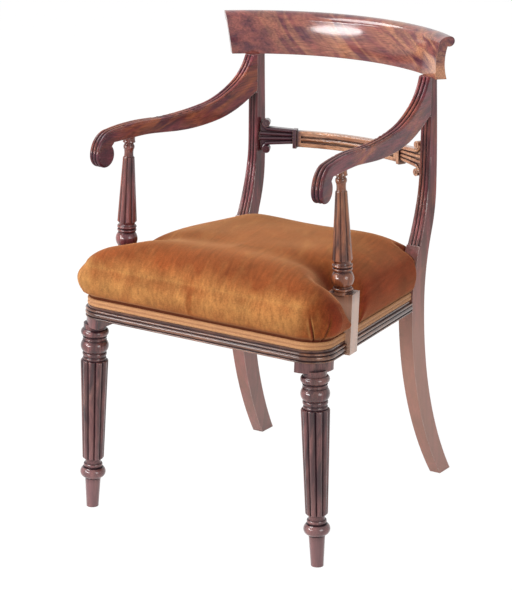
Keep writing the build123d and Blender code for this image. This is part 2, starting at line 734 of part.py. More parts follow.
def crest_rail():
    reach = CREST_HALF_ANGLE + CREST_FLARE / 2
    face_top = CREST_Z + CREST_FACE_H
    roll_r = CREST_R + CREST_ROLL_SETBACK
    roll_z = face_top + CREST_ROUND_H - CREST_ROLL_R
    end = radians(CREST_ROLL_END)
    under = (roll_r - CREST_ROLL_R * cos(end), roll_z - CREST_ROLL_R * sin(end))
    with BuildPart() as crest:
        with BuildSketch(radial_plane(reach)):
            with BuildLine():
                Line((CREST_R + CREST_BOTTOM_T, CREST_Z), (CREST_R, CREST_Z))
                ThreePointArc(
                    (CREST_R, CREST_Z),
                    (CREST_R - CREST_BELLY, CREST_Z + CREST_FACE_H / 2),
                    (CREST_R, face_top),
                )
                EllipticalCenterArc(
                    center=(roll_r, face_top),
                    x_radius=CREST_ROLL_SETBACK,
                    y_radius=CREST_ROUND_H,
                    start_angle=90,
                    arc_size=90,
                )
                ThreePointArc((roll_r, roll_z + CREST_ROLL_R), (roll_r + CREST_ROLL_R, roll_z), under)
                ThreePointArc(
                    under,
                    (CREST_R + CREST_WAIST_T, CREST_Z + CREST_WAIST_H),
                    (CREST_R + CREST_BOTTOM_T, CREST_Z),
                )
            make_face()
        bent(reach)
        turn = radians(CREST_HALF_ANGLE)
        flare = radians(CREST_FLARE)
        corner = radial_plane(CREST_HALF_ANGLE).from_local_coords((CREST_R, CREST_Z, 0))
        normal = (cos(turn) * cos(flare), -sin(turn) * cos(flare), -sin(flare))
        split(bisect_by=Plane(origin=corner, z_dir=normal), keep=Keep.BOTTOM)
        crest_dowel(CLEAR, Mode.SUBTRACT)
        mirror(about=Plane.YZ)
    return crest.part


def mid_tangent_plane():
    """Face of the carved end: local x outwards along the rail, local y up, local z forwards."""
    turn = radians(CARVED_ANGLE)
    return Plane(
        origin=(MID_R * sin(turn), CREST_Y + MID_R * cos(turn), MID_Z + CARVED_RISE),
        x_dir=(cos(turn), -sin(turn), 0),
        z_dir=(-sin(turn), -cos(turn), 0),
    )


def rib(place, root, bend_x):
    """Rib of the carved end, counted from the middle; an outer one bends round to a volute."""
    side = 1 if place > 0 else -1
    outer = abs(place) > 1
    plane = mid_tangent_plane().offset(-RIB_R)
    fan = radians(RIB_FAN * place / 1.5)
    rise = (bend_x - root) * tan(fan)
    with BuildPart() as piece:
        with BuildLine(plane) as path:
            straight = Line((root, place * RIB_PITCH), (bend_x, place * RIB_PITCH + rise))
            if outer:
                JernArc(straight @ 1, straight % 1, RIB_BEND_R, side * (90 - RIB_FAN))
            else:
                Line(straight @ 1, straight @ 1 + straight % 1 * 2 * RIB_BEND_R)
        with BuildSketch(Plane(origin=path.line @ 0, x_dir=plane.z_dir, z_dir=path.line % 0)):
            Circle(RIB_R)
        sweep(path=path.line)
    return piece.part


def mid_rail(blank):
    face = mid_tangent_plane()
    root = -MID_R * tan(radians(CARVED_ANGLE - COLLAR_ANGLE))
    bend_x = VOLUTE_REACH - RIB_BEND_R
    spread = (bend_x - root) * tan(radians(RIB_FAN))
    waist = 1.5 * RIB_PITCH + spread + RIB_R
    volute_y = 1.5 * RIB_PITCH + spread + RIB_BEND_R
    ribs = [rib(place, root, bend_x) for place in (-1.5, -0.5, 0.5, 1.5)]
    panel_h, panel_depth = MID_PANEL
    volute_proud, eye_proud = VOLUTE_PROUD
    with BuildPart() as rail:
        with BuildSketch(radial_plane(COLLAR_ANGLE)):
            with Locations((MID_R + MID_T / 2, MID_Z)):
                RectangleRounded(MID_T, MID_H, MID_EDGE_R)
        bent(COLLAR_ANGLE)
        with BuildSketch(radial_plane(MID_PANEL_ANGLE)):
            with Locations((MID_R, MID_Z)):
                Rectangle(2 * panel_depth, panel_h)
            with Locations((MID_R + MID_REED_R, MID_Z)):
                Circle(MID_REED_R, mode=Mode.SUBTRACT)
        bent(MID_PANEL_ANGLE, Mode.SUBTRACT)
        with BuildSketch(radial_plane(COLLAR_ANGLE + COLLAR_SPAN)):
            with Locations((MID_R + MID_T / 2, MID_Z)):
                RectangleRounded(MID_T + 2 * COLLAR_PROUD, COLLAR_H, COLLAR_EDGE_R)
        revolve(axis=Axis((0, CREST_Y, 0), (0, 0, 1)), revolution_arc=COLLAR_SPAN)
        with BuildSketch(face.offset(-MID_T)):
            Polygon(
                (root, -2 * RIB_PITCH),
                (bend_x, -waist),
                (VOLUTE_REACH, -volute_y),
                (2 * VOLUTE_REACH, -volute_y),
                (2 * VOLUTE_REACH, volute_y),
                (VOLUTE_REACH, volute_y),
                (bend_x, waist),
                (root, 2 * RIB_PITCH),
                align=None,
            )
        extrude(amount=MID_T - RIB_R)
        for piece in ribs:
            add(piece)
        for side in (-1, 1):
            with BuildSketch(face.offset(-MID_T)):
                with Locations((VOLUTE_REACH - VOLUTE_R, side * volute_y)):
                    Circle(VOLUTE_R)
            extrude(amount=MID_T + volute_proud)
            with BuildSketch(face):
                with Locations((VOLUTE_REACH - VOLUTE_R, side * volute_y)):
                    Circle(VOLUTE_EYE_R)
            extrude(amount=eye_proud)
        add(blank, mode=Mode.SUBTRACT)
        split(bisect_by=Plane.YZ.offset(POST_INNER_X + POST_INSET), keep=Keep.BOTTOM)
        mid_rail_tenon(0, Mode.ADD)
        mirror(about=Plane.YZ)
    return rail.part


# ---------------------------------------------------------------- arms
def arm_top_line():
    """Top of the arm under its reeds, from the scroll over the nose to the crest rail."""
    scroll_r = SCROLL_R - ARM_REED_R
    slant = cos(radians(45))
    scroll = JernArc(
        start=(SCROLL_X + scroll_r * slant, SCROLL_Z + scroll_r * slant),
        tangent=(slant, -slant),
        radius=scroll_r,
        arc_size=-225,
    )
    return scroll, arcs(scroll, [(NOSE_R - ARM_REED_R, -ARM_NOSE_TURN), *ARM_TOP_ARCS])


def arm():
    with BuildPart() as piece:
        with BuildSketch(ARM_PLANE):
            with BuildLine():
                scroll, top = arm_top_line()
                flat = Line((NOSE_X, ARM_UNDER_Z), (NOSE_X + ARM_FLAT, ARM_UNDER_Z))
                dip = arcs(flat, [ARM_DIP])
                level = Line(dip @ 1, dip @ 1 + dip % 1 * ARM_UNDER_L)
                under = arcs(level, ARM_UNDER_ARCS)
                Polyline(under @ 1, under @ 1 + under % 1 * 2 * ARM_UNDER_L, top @ 1)
                Line(flat @ 0, scroll @ 0)
            make_face()
        extrude(amount=ARM_T / 2, both=True)
        with BuildLine(ARM_PLANE) as path:
            arm_top_line()
        with BuildSketch(Plane(origin=path.line @ 0, x_dir=ARM_PLANE.z_dir, z_dir=path.line % 0)):
            with GridLocations(ARM_REED_PITCH, 0, 3, 1):
                Circle(ARM_REED_R)
        sweep(path=path.line)
        split(bisect_by=Plane(origin=(0, POST_FACE_Y, 0), z_dir=(0, 1, 0)), keep=Keep.BOTTOM)
        split(bisect_by=Plane.XY.offset(CREST_Z), keep=Keep.BOTTOM)
        arm_tenon(0, Mode.ADD)
        support_pin(CLEAR, Mode.SUBTRACT)
    return piece.part


def arm_support(screws):
    across_rail, along_rail = SUPPORT_BLOCK
    inner = SUPPORT_PROUD - across_rail
    near = SUPPORT_RUN - along_rail / 2
    far = SUPPORT_RUN + along_rail / 2
    shaft = reeded_shaft(SUPPORT_PLANE, SUPPORT_REED_FOOT, SUPPORT_REED_TOP, SUPPORT_REED_R, SUPPORT_REEDS)
    axis = Axis(SUPPORT_PLANE.origin, SUPPORT_PLANE.y_dir)
    with BuildPart() as support:
        box(SIDE, (inner, near, -SUPPORT_DROP), (SUPPORT_PROUD, far, 3 * RAIL_H))
        box(SIDE, (inner, near, -SUPPORT_DROP), (-MOULDING_T, far, RAIL_H), Mode.SUBTRACT)
        split(bisect_by=Plane.XY.offset(SUPPORT_BLOCK_Z), keep=Keep.BOTTOM)
        add(shaft)
        with BuildSketch(SUPPORT_PLANE):
            members_outline(SUPPORT_BASE, -COLLAR_TOP)
        revolve(axis=axis)
        with BuildSketch(SUPPORT_PLANE):
            members_outline(SUPPORT_NECK, SUPPORT_REED_TOP)
        revolve(axis=axis)
        split(bisect_by=Plane.XY.offset(ARM_UNDER_Z), keep=Keep.BOTTOM)
        support_pin(0, Mode.ADD)
        add(screws, mode=Mode.SUBTRACT)
    return support.part


# ---------------------------------------------------------------- upholstery
def cushion_back(inset):
    """Depth of the back of the cushion for an inset of its sides."""
    return BACK_RAIL_OUT + COVER_GAP + COVER_T + COVER_INSET - inset


def cushion_stations():
    """Side and crown of the cushion from the foot up: (height, how far inside the mouldings)."""
    low, high, swell = CUSHION_BELLY
    rise, reach = CUSHION_CROWN
    stations = [(COVER_WALL, COVER_INSET), (low, 0)]
    for step in (0.25, 0.5, 0.75, 1):
        stations.append((low + (high - low) * step, -swell * sin(pi * step)))
    for step in (0.2, 0.35, 0.5, 0.65, 0.8, 0.95):
        stations.append((high + rise * (1 - (1 - step**2) ** 2) ** (2 / 3), reach * step**2))
    return stations


def cushion(inward):
    """Stuffed seat with its surface set inwards, from the foot of the cover up."""
    wall = COVER_INSET + inward
    stations = cushion_stations()
    full_height = stations[-1][0]
    with BuildPart() as stuffed:
        with BuildSketch(SEAT.offset(COVER_FOOT)):
            seat_outline(wall, cushion_back(wall), CUSHION_CORNER)
        extrude(amount=COVER_WALL - COVER_FOOT)
        for height, inset in stations:
            drop = inward * max(0, 2 * height / full_height - 1)
            level = inset + inward - drop / 2
            with BuildSketch(SEAT.offset(height - drop)):
                seat_outline(level, cushion_back(level), CUSHION_CORNER + CORNER_OPEN[1] * max(0, inset))
        loft(ruled=True)
    return stuffed.part


def cushion_space(post_space):
    """Room that the cushion leaves for the right post and arm support."""
    across_rail, along_rail = SUPPORT_BLOCK
    low = (
        SUPPORT_PROUD - across_rail - CUSHION_EASE,
        SUPPORT_RUN - along_rail / 2 - CUSHION_EASE,
        -SUPPORT_DROP,
    )
    high = (across_rail, SUPPORT_RUN + along_rail / 2 + CUSHION_EASE, 3 * RAIL_H)
    ball = max(radius + swell for length, radius, swell in SUPPORT_BASE) + CUSHION_EASE
    with BuildPart() as space:
        add(post_space)
        box(SIDE, low, high)
        with Locations(across(SUPPORT_PLANE, -2 * COLLAR_TOP)):
            Cylinder(ball, RAIL_H, align=(Align.CENTER, Align.CENTER, Align.MIN))
    return space.part


def leave_room(space):
    add(space, mode=Mode.SUBTRACT)
    mirror(space, about=Plane.YZ, mode=Mode.SUBTRACT)


def seat_cover(space):
    outside = cushion(0)
    inside = cushion(COVER_T)
    with BuildPart() as cover:
        add(outside)
        add(inside, mode=Mode.SUBTRACT)
        leave_room(space)
    return cover.part


def stuffing_pad(space):
    stuffed = cushion(COVER_T + COVER_GAP)
    with BuildPart() as pad:
        add(stuffed)
        split(bisect_by=SEAT.offset(PAD_Z), keep=Keep.TOP)
        leave_room(space)
    return pad.part


def seat_webbing():
    """Bands tacked on the rails, front to back below and across above."""
    middle = (RAIL_MID + BACK_RAIL_OUT - RAIL_T / 2) / 2
    length = BACK_RAIL_OUT - RAIL_MID - RAIL_T / 2
    with BuildPart() as webbing:
        with BuildSketch(SEAT.offset(RAIL_H)):
            with Locations((0, middle)):
                with GridLocations(WEB_PITCH[0], 0, WEB_COUNT, 1):
                    Rectangle(WEB_W, length)
        extrude(amount=WEB_T)
        with BuildSketch(SEAT.offset(RAIL_H + WEB_T)):
            for index in range(WEB_COUNT):
                depth = SUPPORT_SETBACK + (index - 0.5) * WEB_PITCH[1]
                with Locations((0, depth)):
                    Rectangle(2 * side_x(depth + WEB_W / 2, RAIL_MID), WEB_W)
        extrude(amount=WEB_T)
    return webbing.part


def seat_hessian(space):
    with BuildPart() as hessian:
        with BuildSketch(SEAT.offset(HESSIAN_Z)):
            seat_outline(RAIL_MID, BACK_RAIL_OUT - RAIL_T / 2)
        extrude(amount=HESSIAN_T)
        leave_room(space)
    return hessian.part


# ---------------------------------------------------------------- the chair
def screw_set(frames, fit=0, sink=0):
    with BuildPart() as screws:
        for frame in frames:
            screw(frame, fit, sink)
    return screws.part


def main():
    os.makedirs("parts", exist_ok=True)
    blank = post_blank()
    post_space = behind_post_face(0, 0)
    corner_holes = screw_set(corner_screw_frames(), CLEAR, CORNER_BLOCK_LEG)
    support_holes = screw_set(support_screw_frames(), CLEAR, RAIL_T)
    with BuildPart() as rail_holes:
        add(corner_holes)
        add(support_holes)
    holes = rail_holes.part

    save_pair(front_leg(), "front_leg")
    save_pair(rear_post(blank), "rear_post")
    save(front_rail(holes), "front_seat_rail")
    save_pair(side_rail(post_space, holes), "side_seat_rail")
    save(back_rail(blank, holes), "back_seat_rail")
    save_pair(corner_block(front_corner(), corner_holes), "front_corner_block")
    save_pair(corner_block(back_corner(), corner_holes), "back_corner_block")

    save(front_moulding(), "front_moulding")
    save_pair(corner_moulding(), "corner_moulding")
    save_pair(strip_run(MOULDING, 0, MOULDING_T, 0, post_space), "side_moulding")

    save(crest_rail(), "crest_rail")
    save(mid_rail(blank), "mid_rail")
    save_pair(arm(), "arm")
    save_pair(arm_support(support_holes), "arm_support")

    room = cushion_space(behind_post_face(CUSHION_EASE, POST_INNER_X - CUSHION_EASE))
    save(seat_webbing(), "seat_webbing")
    save(seat_hessian(room), "seat_hessian")
    save(stuffing_pad(room), "stuffing_pad")
    save(seat_cover(room), "seat_cover")
    save(front_braid(), "front_braid")
    save_pair(strip_run(BRAID, COVER_FOOT, COVER_INSET, CLEAR, post_space), "side_braid")
    save(back_braid(), "back_braid")

    for label, frames in (("corner", corner_screw_frames()), ("support", support_screw_frames())):
        right = screw_set(frames)
        with BuildPart() as both:
            add(right)
            mirror(right, about=Plane.YZ)
        save(both.part, f"{label}_screws")


main()
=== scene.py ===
# %% [markdown]
# # A mahogany elbow chair, dressed
# The chair's wooden parts come ready made from the CAD model: turned and reeded legs, sabre
# back legs, a rolled crest rail and scrolled arms. What they lack is a finish. This lesson
# gives them French polished mahogany, and makes the soft parts afresh: the velvet seat with
# its tucks, the gimp braid, and the webbing and hessian underneath.

# %% The workshop
import math

import bpy
import numpy as np
from mathutils import Matrix, Vector


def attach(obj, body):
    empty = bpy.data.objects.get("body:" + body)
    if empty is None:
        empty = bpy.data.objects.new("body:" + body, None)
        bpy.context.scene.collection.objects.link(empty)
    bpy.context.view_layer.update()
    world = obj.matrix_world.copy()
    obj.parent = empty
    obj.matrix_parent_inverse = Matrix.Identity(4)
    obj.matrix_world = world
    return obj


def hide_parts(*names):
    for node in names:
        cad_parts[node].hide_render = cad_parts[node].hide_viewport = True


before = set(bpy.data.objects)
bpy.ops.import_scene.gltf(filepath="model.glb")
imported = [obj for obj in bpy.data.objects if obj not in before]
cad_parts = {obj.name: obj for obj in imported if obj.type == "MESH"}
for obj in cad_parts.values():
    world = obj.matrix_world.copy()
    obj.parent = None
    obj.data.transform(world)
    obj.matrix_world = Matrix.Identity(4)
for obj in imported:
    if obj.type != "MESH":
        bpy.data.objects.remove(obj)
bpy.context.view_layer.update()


# %% [markdown]
# The camera comes first, because every later choice is judged through it. It stands well
# back, to the right of the chair and above the arms, with a long lens, so that upright
# lines stay nearly parallel. Its axes are written out as the columns of a rotation matrix.

# %% Camera
CAMERA_AT = Vector((2.0228, -3.2266, 1.5341))
LOOKS_ALONG = Vector((-0.5174, 0.8053, -0.2894)).normalized()
CAMERA_ROLL = 0.009
LENS_MM = 132.75

level_right = LOOKS_ALONG.cross(Vector((0, 0, 1))).normalized()
level_up = level_right.cross(LOOKS_ALONG)
camera_right = level_right * math.cos(CAMERA_ROLL) + level_up * math.sin(CAMERA_ROLL)
camera_up = level_up * math.cos(CAMERA_ROLL) - level_right * math.sin(CAMERA_ROLL)
camera = bpy.data.objects.new("Camera", bpy.data.cameras.new("Camera"))
bpy.context.scene.collection.objects.link(camera)
turned = Matrix((camera_right, camera_up, -LOOKS_ALONG)).transposed().to_4x4()
camera.matrix_world = Matrix.Translation(CAMERA_AT) @ turned
camera.data.lens = LENS_MM
camera.data.sensor_width = 36
camera.data.clip_end = 60
bpy.context.scene.camera = camera
print("camera to chair:", round((CAMERA_AT - Vector((0, 0, 0.45))).length, 2), "m")


# %% [markdown]
# Materials here are graphs of shader nodes. A few small helpers keep them readable: one adds
# a node and wires or sets its sockets by name, one starts a node group with named sockets,
# and the rest fetch a place, make noise, stretch a range, mix two colours and do sums. A
# group is worth making when several materials share the same effect.

# %% Helpers for shader graphs
def feed(tree, socket, value):
    """Link a socket to another node's output, or set it to a number or a colour."""
    if isinstance(value, bpy.types.NodeSocket):
        tree.links.new(value, socket)
    else:
        socket.default_value = value


def put(tree, kind, sockets=None, **settings):
    """Add a node, with its sockets by name or number and its other settings by name."""
    node = tree.nodes.new(kind)
    for name, value in settings.items():
        setattr(node, name, value)
    for name, value in (sockets or {}).items():
        feed(tree, node.inputs[name], value)
    return node


def start_group(name, inputs, outputs):
    group = bpy.data.node_groups.new(name, "ShaderNodeTree")
    for label, kind, value in inputs:
        socket = group.interface.new_socket(label, in_out="INPUT", socket_type="NodeSocket" + kind)
        if value is not None:
            socket.default_value = value
    for label, kind in outputs:
        group.interface.new_socket(label, in_out="OUTPUT", socket_type="NodeSocket" + kind)
    return group, group.nodes.new("NodeGroupInput").outputs, group.nodes.new("NodeGroupOutput").inputs


def object_place(tree):
    return put(tree, "ShaderNodeTexCoord").outputs["Object"]


def noise_at(tree, vector, stretch, detail=3, distortion=0, turn=(0, 0, 0)):
    """Noise with its own stretch along each axis, in features per metre."""
    sizes = tuple(1 / count for count in stretch)
    mapping = {"Vector": vector, "Scale": sizes, "Rotation": turn}
    placed = put(tree, "ShaderNodeMapping", mapping, vector_type="TEXTURE").outputs[0]
    settings = {"Vector": placed, "Scale": 1, "Detail": detail, "Distortion": distortion}
    return put(tree, "ShaderNodeTexNoise", settings).outputs["Fac"]


def remap(tree, value, low, high, to_low=0.0, to_high=1.0):
    ends = {"From Min": low, "From Max": high, "To Min": to_low, "To Max": to_high}
    return put(tree, "ShaderNodeMapRange", {"Value": value, **ends}).outputs["Result"]


def mix_colours(tree, factor, first, second, blend="MIX"):
    """The mix node has sockets for numbers and vectors too; 0, 6 and 7 are the colour ones."""
    node = put(tree, "ShaderNodeMix", data_type="RGBA", blend_type=blend)
    for index, value in ((0, factor), (6, first), (7, second)):
        feed(tree, node.inputs[index], value)
    return node.outputs[2]


def sum_up(tree, operation, *values):
    return put(tree, "ShaderNodeMath", dict(enumerate(values)), operation=operation).outputs[0]


def dot(tree, first, second):
    sockets = {0: first, 1: second}
    return put(tree, "ShaderNodeVectorMath", sockets, operation="DOT_PRODUCT").outputs["Value"]


helpers = (feed, put, start_group, object_place, noise_at, remap, mix_colours, sum_up, dot)
print("helpers:", ", ".join(helper.__name__ for helper in helpers))


# %% [markdown]
# Mahogany has three things to show. Its body colour runs in long ribbons along the grain.
# Across them, a good board has flame: golden feathers where the fibres turn up to the
# surface. And it is full of short dark pores. One group makes all three from a vector
# whose X runs along the grain, so that each part only has to turn that vector to suit
# the way its timber was cut.

# %% Group: mahogany figure
def mahogany_figure():
    group, given, wanted = start_group(
        "Mahogany figure",
        [
            ("Vector", "Vector", None),
            ("Shade", "Color", (0.1, 0.03, 0.03, 1)),
            ("Body", "Color", (0.2, 0.06, 0.04, 1)),
            ("Flame", "Color", (0.4, 0.17, 0.08, 1)),
            ("Flame amount", "Float", 0.5),
            ("Flame at start", "Float", 1.0),
            ("Feather slope", "Float", 0.0),
            ("Feather bend", "Float", 0.0),
        ],
        [("Color", "Color"), ("Pores", "Float")],
    )
    sway = put(group, "ShaderNodeTexNoise", {"Vector": given["Vector"], "Scale": 6, "Detail": 2})
    halves = {0: sway.outputs["Color"], 1: (0.5, 0.5, 0.5)}
    centred = put(group, "ShaderNodeVectorMath", halves, operation="SUBTRACT").outputs[0]
    shifts = {0: centred, 1: (0.02, 0.035, 0.035), 2: given["Vector"]}
    swayed = put(group, "ShaderNodeVectorMath", shifts, operation="MULTIPLY_ADD").outputs[0]
    ribbons = remap(group, noise_at(group, swayed, (7, 70, 70), 5), 0.38, 0.64)
    parts = put(group, "ShaderNodeSeparateXYZ", {0: swayed}).outputs
    before_bend = sum_up(group, "MAXIMUM", sum_up(group, "SUBTRACT", 0.1, parts["X"]), 0)
    bent = sum_up(group, "MULTIPLY", sum_up(group, "POWER", before_bend, 2), given["Feather bend"])
    sloped = sum_up(group, "MULTIPLY_ADD", parts["X"], given["Feather slope"], parts["Z"])
    crossing = sum_up(group, "SUBTRACT", sloped, bent)
    fanned = put(group, "ShaderNodeCombineXYZ", {"X": parts["X"], "Y": parts["Y"], "Z": crossing})
    feathers = noise_at(group, fanned.outputs[0], (9, 20, 42), 6, 0.8)
    patches = remap(group, noise_at(group, fanned.outputs[0], (6, 9, 13), 3), 0.36, 0.58)
    flames = sum_up(group, "MULTIPLY", remap(group, feathers, 0.42, 0.62), patches)
    flames = sum_up(group, "MULTIPLY", flames, given["Flame amount"])
    growth = remap(group, parts["X"], -0.17, 0.06, given["Flame at start"], 1)
    flames = sum_up(group, "MULTIPLY", flames, growth)
    lines = remap(group, noise_at(group, swayed, (22, 420, 420), 4), 0.3, 0.7, 0.6, 1.34)
    pores = remap(group, noise_at(group, given["Vector"], (230, 2400, 2400), 2), 0.6, 0.7)
    colour = mix_colours(group, ribbons, given["Shade"], given["Body"])
    colour = mix_colours(group, flames, colour, given["Flame"])
    colour = mix_colours(group, 1.0, colour, lines, "MULTIPLY")
    colour = mix_colours(group, sum_up(group, "MULTIPLY", pores, 0.55), colour, given["Shade"])
    group.links.new(colour, wanted["Color"])
    group.links.new(pores, wanted["Pores"])
    return group


MAHOGANY_FIGURE = mahogany_figure()
print("nodes in the mahogany figure:", len(MAHOGANY_FIGURE.nodes))


# %% [markdown]
# Two hundred years of dusting rub the polish off the arrises and leave dark wax in the
# hollows. The Bevel node finds the arrises without any new geometry: where its rounded
# normal differs from the true one, there is an edge. Its normal also softens the light
# along each sharp CAD edge. Ambient occlusion finds the hollows, and the materials darken
# them: old wax and painted shade on the polished wood, dust and painted shade on the beech,
# painted shade alone on the velvet and the braid.

# %% Group: rubbed edges and shaded hollows
def edges_and_hollow_shade():
    group, given, wanted = start_group(
        "Rubbed edges and shaded hollows",
        [
            ("Edge radius", "Float", 0.0012),
            ("Hollow depth", "Float", 0.012),
            ("Hollow start", "Float", 0.92),
        ],
        [("Rubbed", "Float"), ("Hollow shade", "Float"), ("Normal", "Vector")],
    )
    rounded = put(group, "ShaderNodeBevel", {"Radius": given["Edge radius"]}, samples=4).outputs[0]
    alike = dot(group, rounded, put(group, "ShaderNodeNewGeometry").outputs["Normal"])
    reach = {"Distance": given["Hollow depth"]}
    openness = put(group, "ShaderNodeAmbientOcclusion", reach, samples=6, only_local=True).outputs["AO"]
    group.links.new(remap(group, alike, 0.995, 0.9), wanted["Rubbed"])
    # Hollow shade is one in deep hollows: the mask for painted shade, and on the wood for old wax as well.
    filled = sum_up(group, "DIVIDE", sum_up(group, "SUBTRACT", given["Hollow start"], openness), 0.26)
    group.links.new(sum_up(group, "MINIMUM", sum_up(group, "MAXIMUM", filled, 0), 1), wanted["Hollow shade"])
    group.links.new(rounded, wanted["Normal"])
    return group


EDGES_AND_HOLLOW_SHADE = edges_and_hollow_shade()
print("nodes in the ageing group:", len(EDGES_AND_HOLLOW_SHADE.nodes))


# %% [markdown]
# French polish is many thin coats of shellac over a filled grain, so the wood under it is
# fairly rough and the coat on top nearly a mirror. The Principled shader has both: a base
# roughness and a coat of its own. Each part has its own tones, and some are paler or darker
# over part of their length. The rear posts and the arm support's block are paler towards the
# floor: painted reflection of the white surround, with some fading. On the arms and posts the
# rubbed edges are pale enough to be a painted highlight as well as wear, and on all the
# wood the hollows go dark with old wax and painted shade.

# %% Polished mahogany
GRAIN_TURN = {"x": (0, 0, 0), "y": (0, 0, -math.pi / 2), "z": (0, math.pi / 2, 0)}
# Near black for the wood's hollows: old wax and painted shade together.
WAX_AND_HOLLOW_SHADE = (0.015, 0.005, 0.01, 1)
# Wider rounding for the pale edges of arms and posts, which paint a highlight as well as wear.
WORN_HIGHLIGHT_RADIUS = 0.0018


def new_material(name, roughness):
    material = bpy.data.materials.new(name)
    material.use_nodes = True
    tree = material.node_tree
    shader = tree.nodes["Principled BSDF"]
    shader.inputs["Roughness"].default_value = roughness
    return material, tree, shader


def add_bump(tree, shader, height, strength, distance, normal=None):
    bump = put(tree, "ShaderNodeBump", {"Height": height, "Strength": strength, "Distance": distance})
    if normal is not None:
        tree.links.new(normal, bump.inputs["Normal"])
    tree.links.new(bump.outputs[0], shader.inputs["Normal"])


def grain_along(tree, place, axis, shift=0.0):
    """Turn a place so that its X runs along the grain; shift takes it to another board."""
    settings = {"Vector": place, "Rotation": GRAIN_TURN[axis], "Location": (shift, 2 * shift, 3 * shift)}
    return put(tree, "ShaderNodeMapping", settings).outputs[0]


def figure_node(tree, along, tones, flame_amount):
    figure = put(tree, "ShaderNodeGroup", {"Vector": along}, node_tree=MAHOGANY_FIGURE)
    for label, tone in zip(("Shade", "Body", "Flame"), tones):
        figure.inputs[label].default_value = (*tone, 1)
    figure.inputs["Flame amount"].default_value = flame_amount
    return figure


def polished_mahogany(
    name, grain, tones, flame_amount, feather, shift=0.0, zone_tone=None, gloss=1.0, worn=None
):
    """zone_tone is (colour, axis, place where it is full, place where it ends, strength);
    worn is the colour of rubbed edges, and a pale one paints a highlight along them as well as wear."""
    material, tree, shader = new_material(name, 0.36)
    shader.inputs["Specular IOR Level"].default_value = 0.1
    place = object_place(tree)
    figure = figure_node(tree, grain_along(tree, place, grain, shift), tones, flame_amount)
    for label, value in zip(("Flame at start", "Feather slope", "Feather bend"), feather):
        figure.inputs[label].default_value = value
    colour = figure.outputs["Color"]
    # A zone tone is mixed over part of a board; on the rear posts and the support's block it is painted
    # reflection as well as fading.
    if zone_tone:
        tone, axis, full, end, strength = zone_tone
        along_axis = put(tree, "ShaderNodeSeparateXYZ", {0: place}).outputs[axis]
        colour = mix_colours(tree, remap(tree, along_axis, end, full, 0, strength), colour, (*tone, 1))
    ageing_and_shade = put(tree, "ShaderNodeGroup", node_tree=EDGES_AND_HOLLOW_SHADE)
    smudges = noise_at(tree, place, (40, 40, 40), 4)
    # With a worn colour the rubbed edges are wider and stronger, and their pale colour paints a highlight as
    # well as wear; without one they are wear alone.
    if worn:
        ageing_and_shade.inputs["Edge radius"].default_value = WORN_HIGHLIGHT_RADIUS
    least, most = (0.35, 1.0) if worn else (0.05, 0.5)
    patchy = remap(tree, smudges, 0.35, 0.65, least, most)
    rubbed = sum_up(tree, "MULTIPLY", ageing_and_shade.outputs["Rubbed"], patchy)
    pale = worn or [min(1, c * 1.25 + 0.02) for c in tones[2]]
    colour = mix_colours(tree, rubbed, colour, (*pale, 1))
    # The hollows go near black with old wax and painted shade; the coat is duller there.
    waxed = sum_up(tree, "MULTIPLY", ageing_and_shade.outputs["Hollow shade"], 0.92)
    feed(tree, shader.inputs["Base Color"], mix_colours(tree, waxed, colour, WAX_AND_HOLLOW_SHADE))
    coat = remap(tree, ageing_and_shade.outputs["Hollow shade"], 0, 1, gloss, 0.2 * gloss)
    feed(tree, shader.inputs["Coat Weight"], coat)
    feed(tree, shader.inputs["Coat Roughness"], remap(tree, smudges, 0.3, 0.7, 0.09, 0.17))
    sunk_pores = sum_up(tree, "MULTIPLY", figure.outputs["Pores"], -1)
    add_bump(tree, shader, sunk_pores, 0.25, 0.0002, ageing_and_shade.outputs["Normal"])
    return material


INK = (0.035, 0.011, 0.014)
AMBER = (0.36, 0.11, 0.045)
GOLD = (0.46, 0.205, 0.09)
CREST_TONES = ((0.085, 0.018, 0.03), (0.24, 0.066, 0.054), (0.46, 0.205, 0.105))
ARM_TONES = ((0.08, 0.014, 0.022), (0.195, 0.034, 0.046), (0.41, 0.12, 0.045))
POST_TONES = ((0.06, 0.013, 0.016), (0.2, 0.042, 0.05), AMBER)
LEG_TONES = (INK, (0.16, 0.054, 0.052), (0.36, 0.16, 0.12))
SUPPORT_TONES = ((0.07, 0.018, 0.01), (0.27, 0.085, 0.034), GOLD)
MID_TONES = ((0.27, 0.1, 0.052), (0.53, 0.265, 0.14), (0.62, 0.34, 0.2))
STRIP_TONES = ((0.06, 0.022, 0.014), (0.22, 0.09, 0.045), AMBER)
DARK_SUPPORT_TONES = ((0.05, 0.012, 0.018), (0.2, 0.055, 0.06), AMBER)
LEG_FOOT = ((0.22, 0.105, 0.11), "Z", 0.03, 0.16, 0.6)
# The rear posts grow paler towards the floor: painted reflection of the white surround, with some fading.
POST_FOOT_FADE_AND_PAINTED_REFLECTION = ((0.56, 0.32, 0.25), "Z", 0.3, 0.53, 0.58)
LEFT_POST_FOOT_FADE_AND_PAINTED_REFLECTION = ((0.36, 0.2, 0.16), "Z", 0.3, 0.5, 0.5)
ARM_SCROLL = ((0.02, 0.006, 0.016), "Y", -0.235, -0.2, 0.6)
# The arm support's block is paler low down: painted reflection of the white surround, with some fading.
SUPPORT_BLOCK_FADE_AND_PAINTED_REFLECTION = ((0.66, 0.43, 0.32), "Z", 0.45, 0.475, 0.62)
DARK_COLLAR = ((0.04, 0.01, 0.028), "X", -0.108, -0.1, 0.93)
# Pale edges for the arms and posts: wear, and a painted highlight along their arrises.
WORN_EDGE_HIGHLIGHT = (0.66, 0.5, 0.46)
PLAIN, SLIGHT = (1.0, 0.0, 0.0), (1.0, 0.1, 0.0)

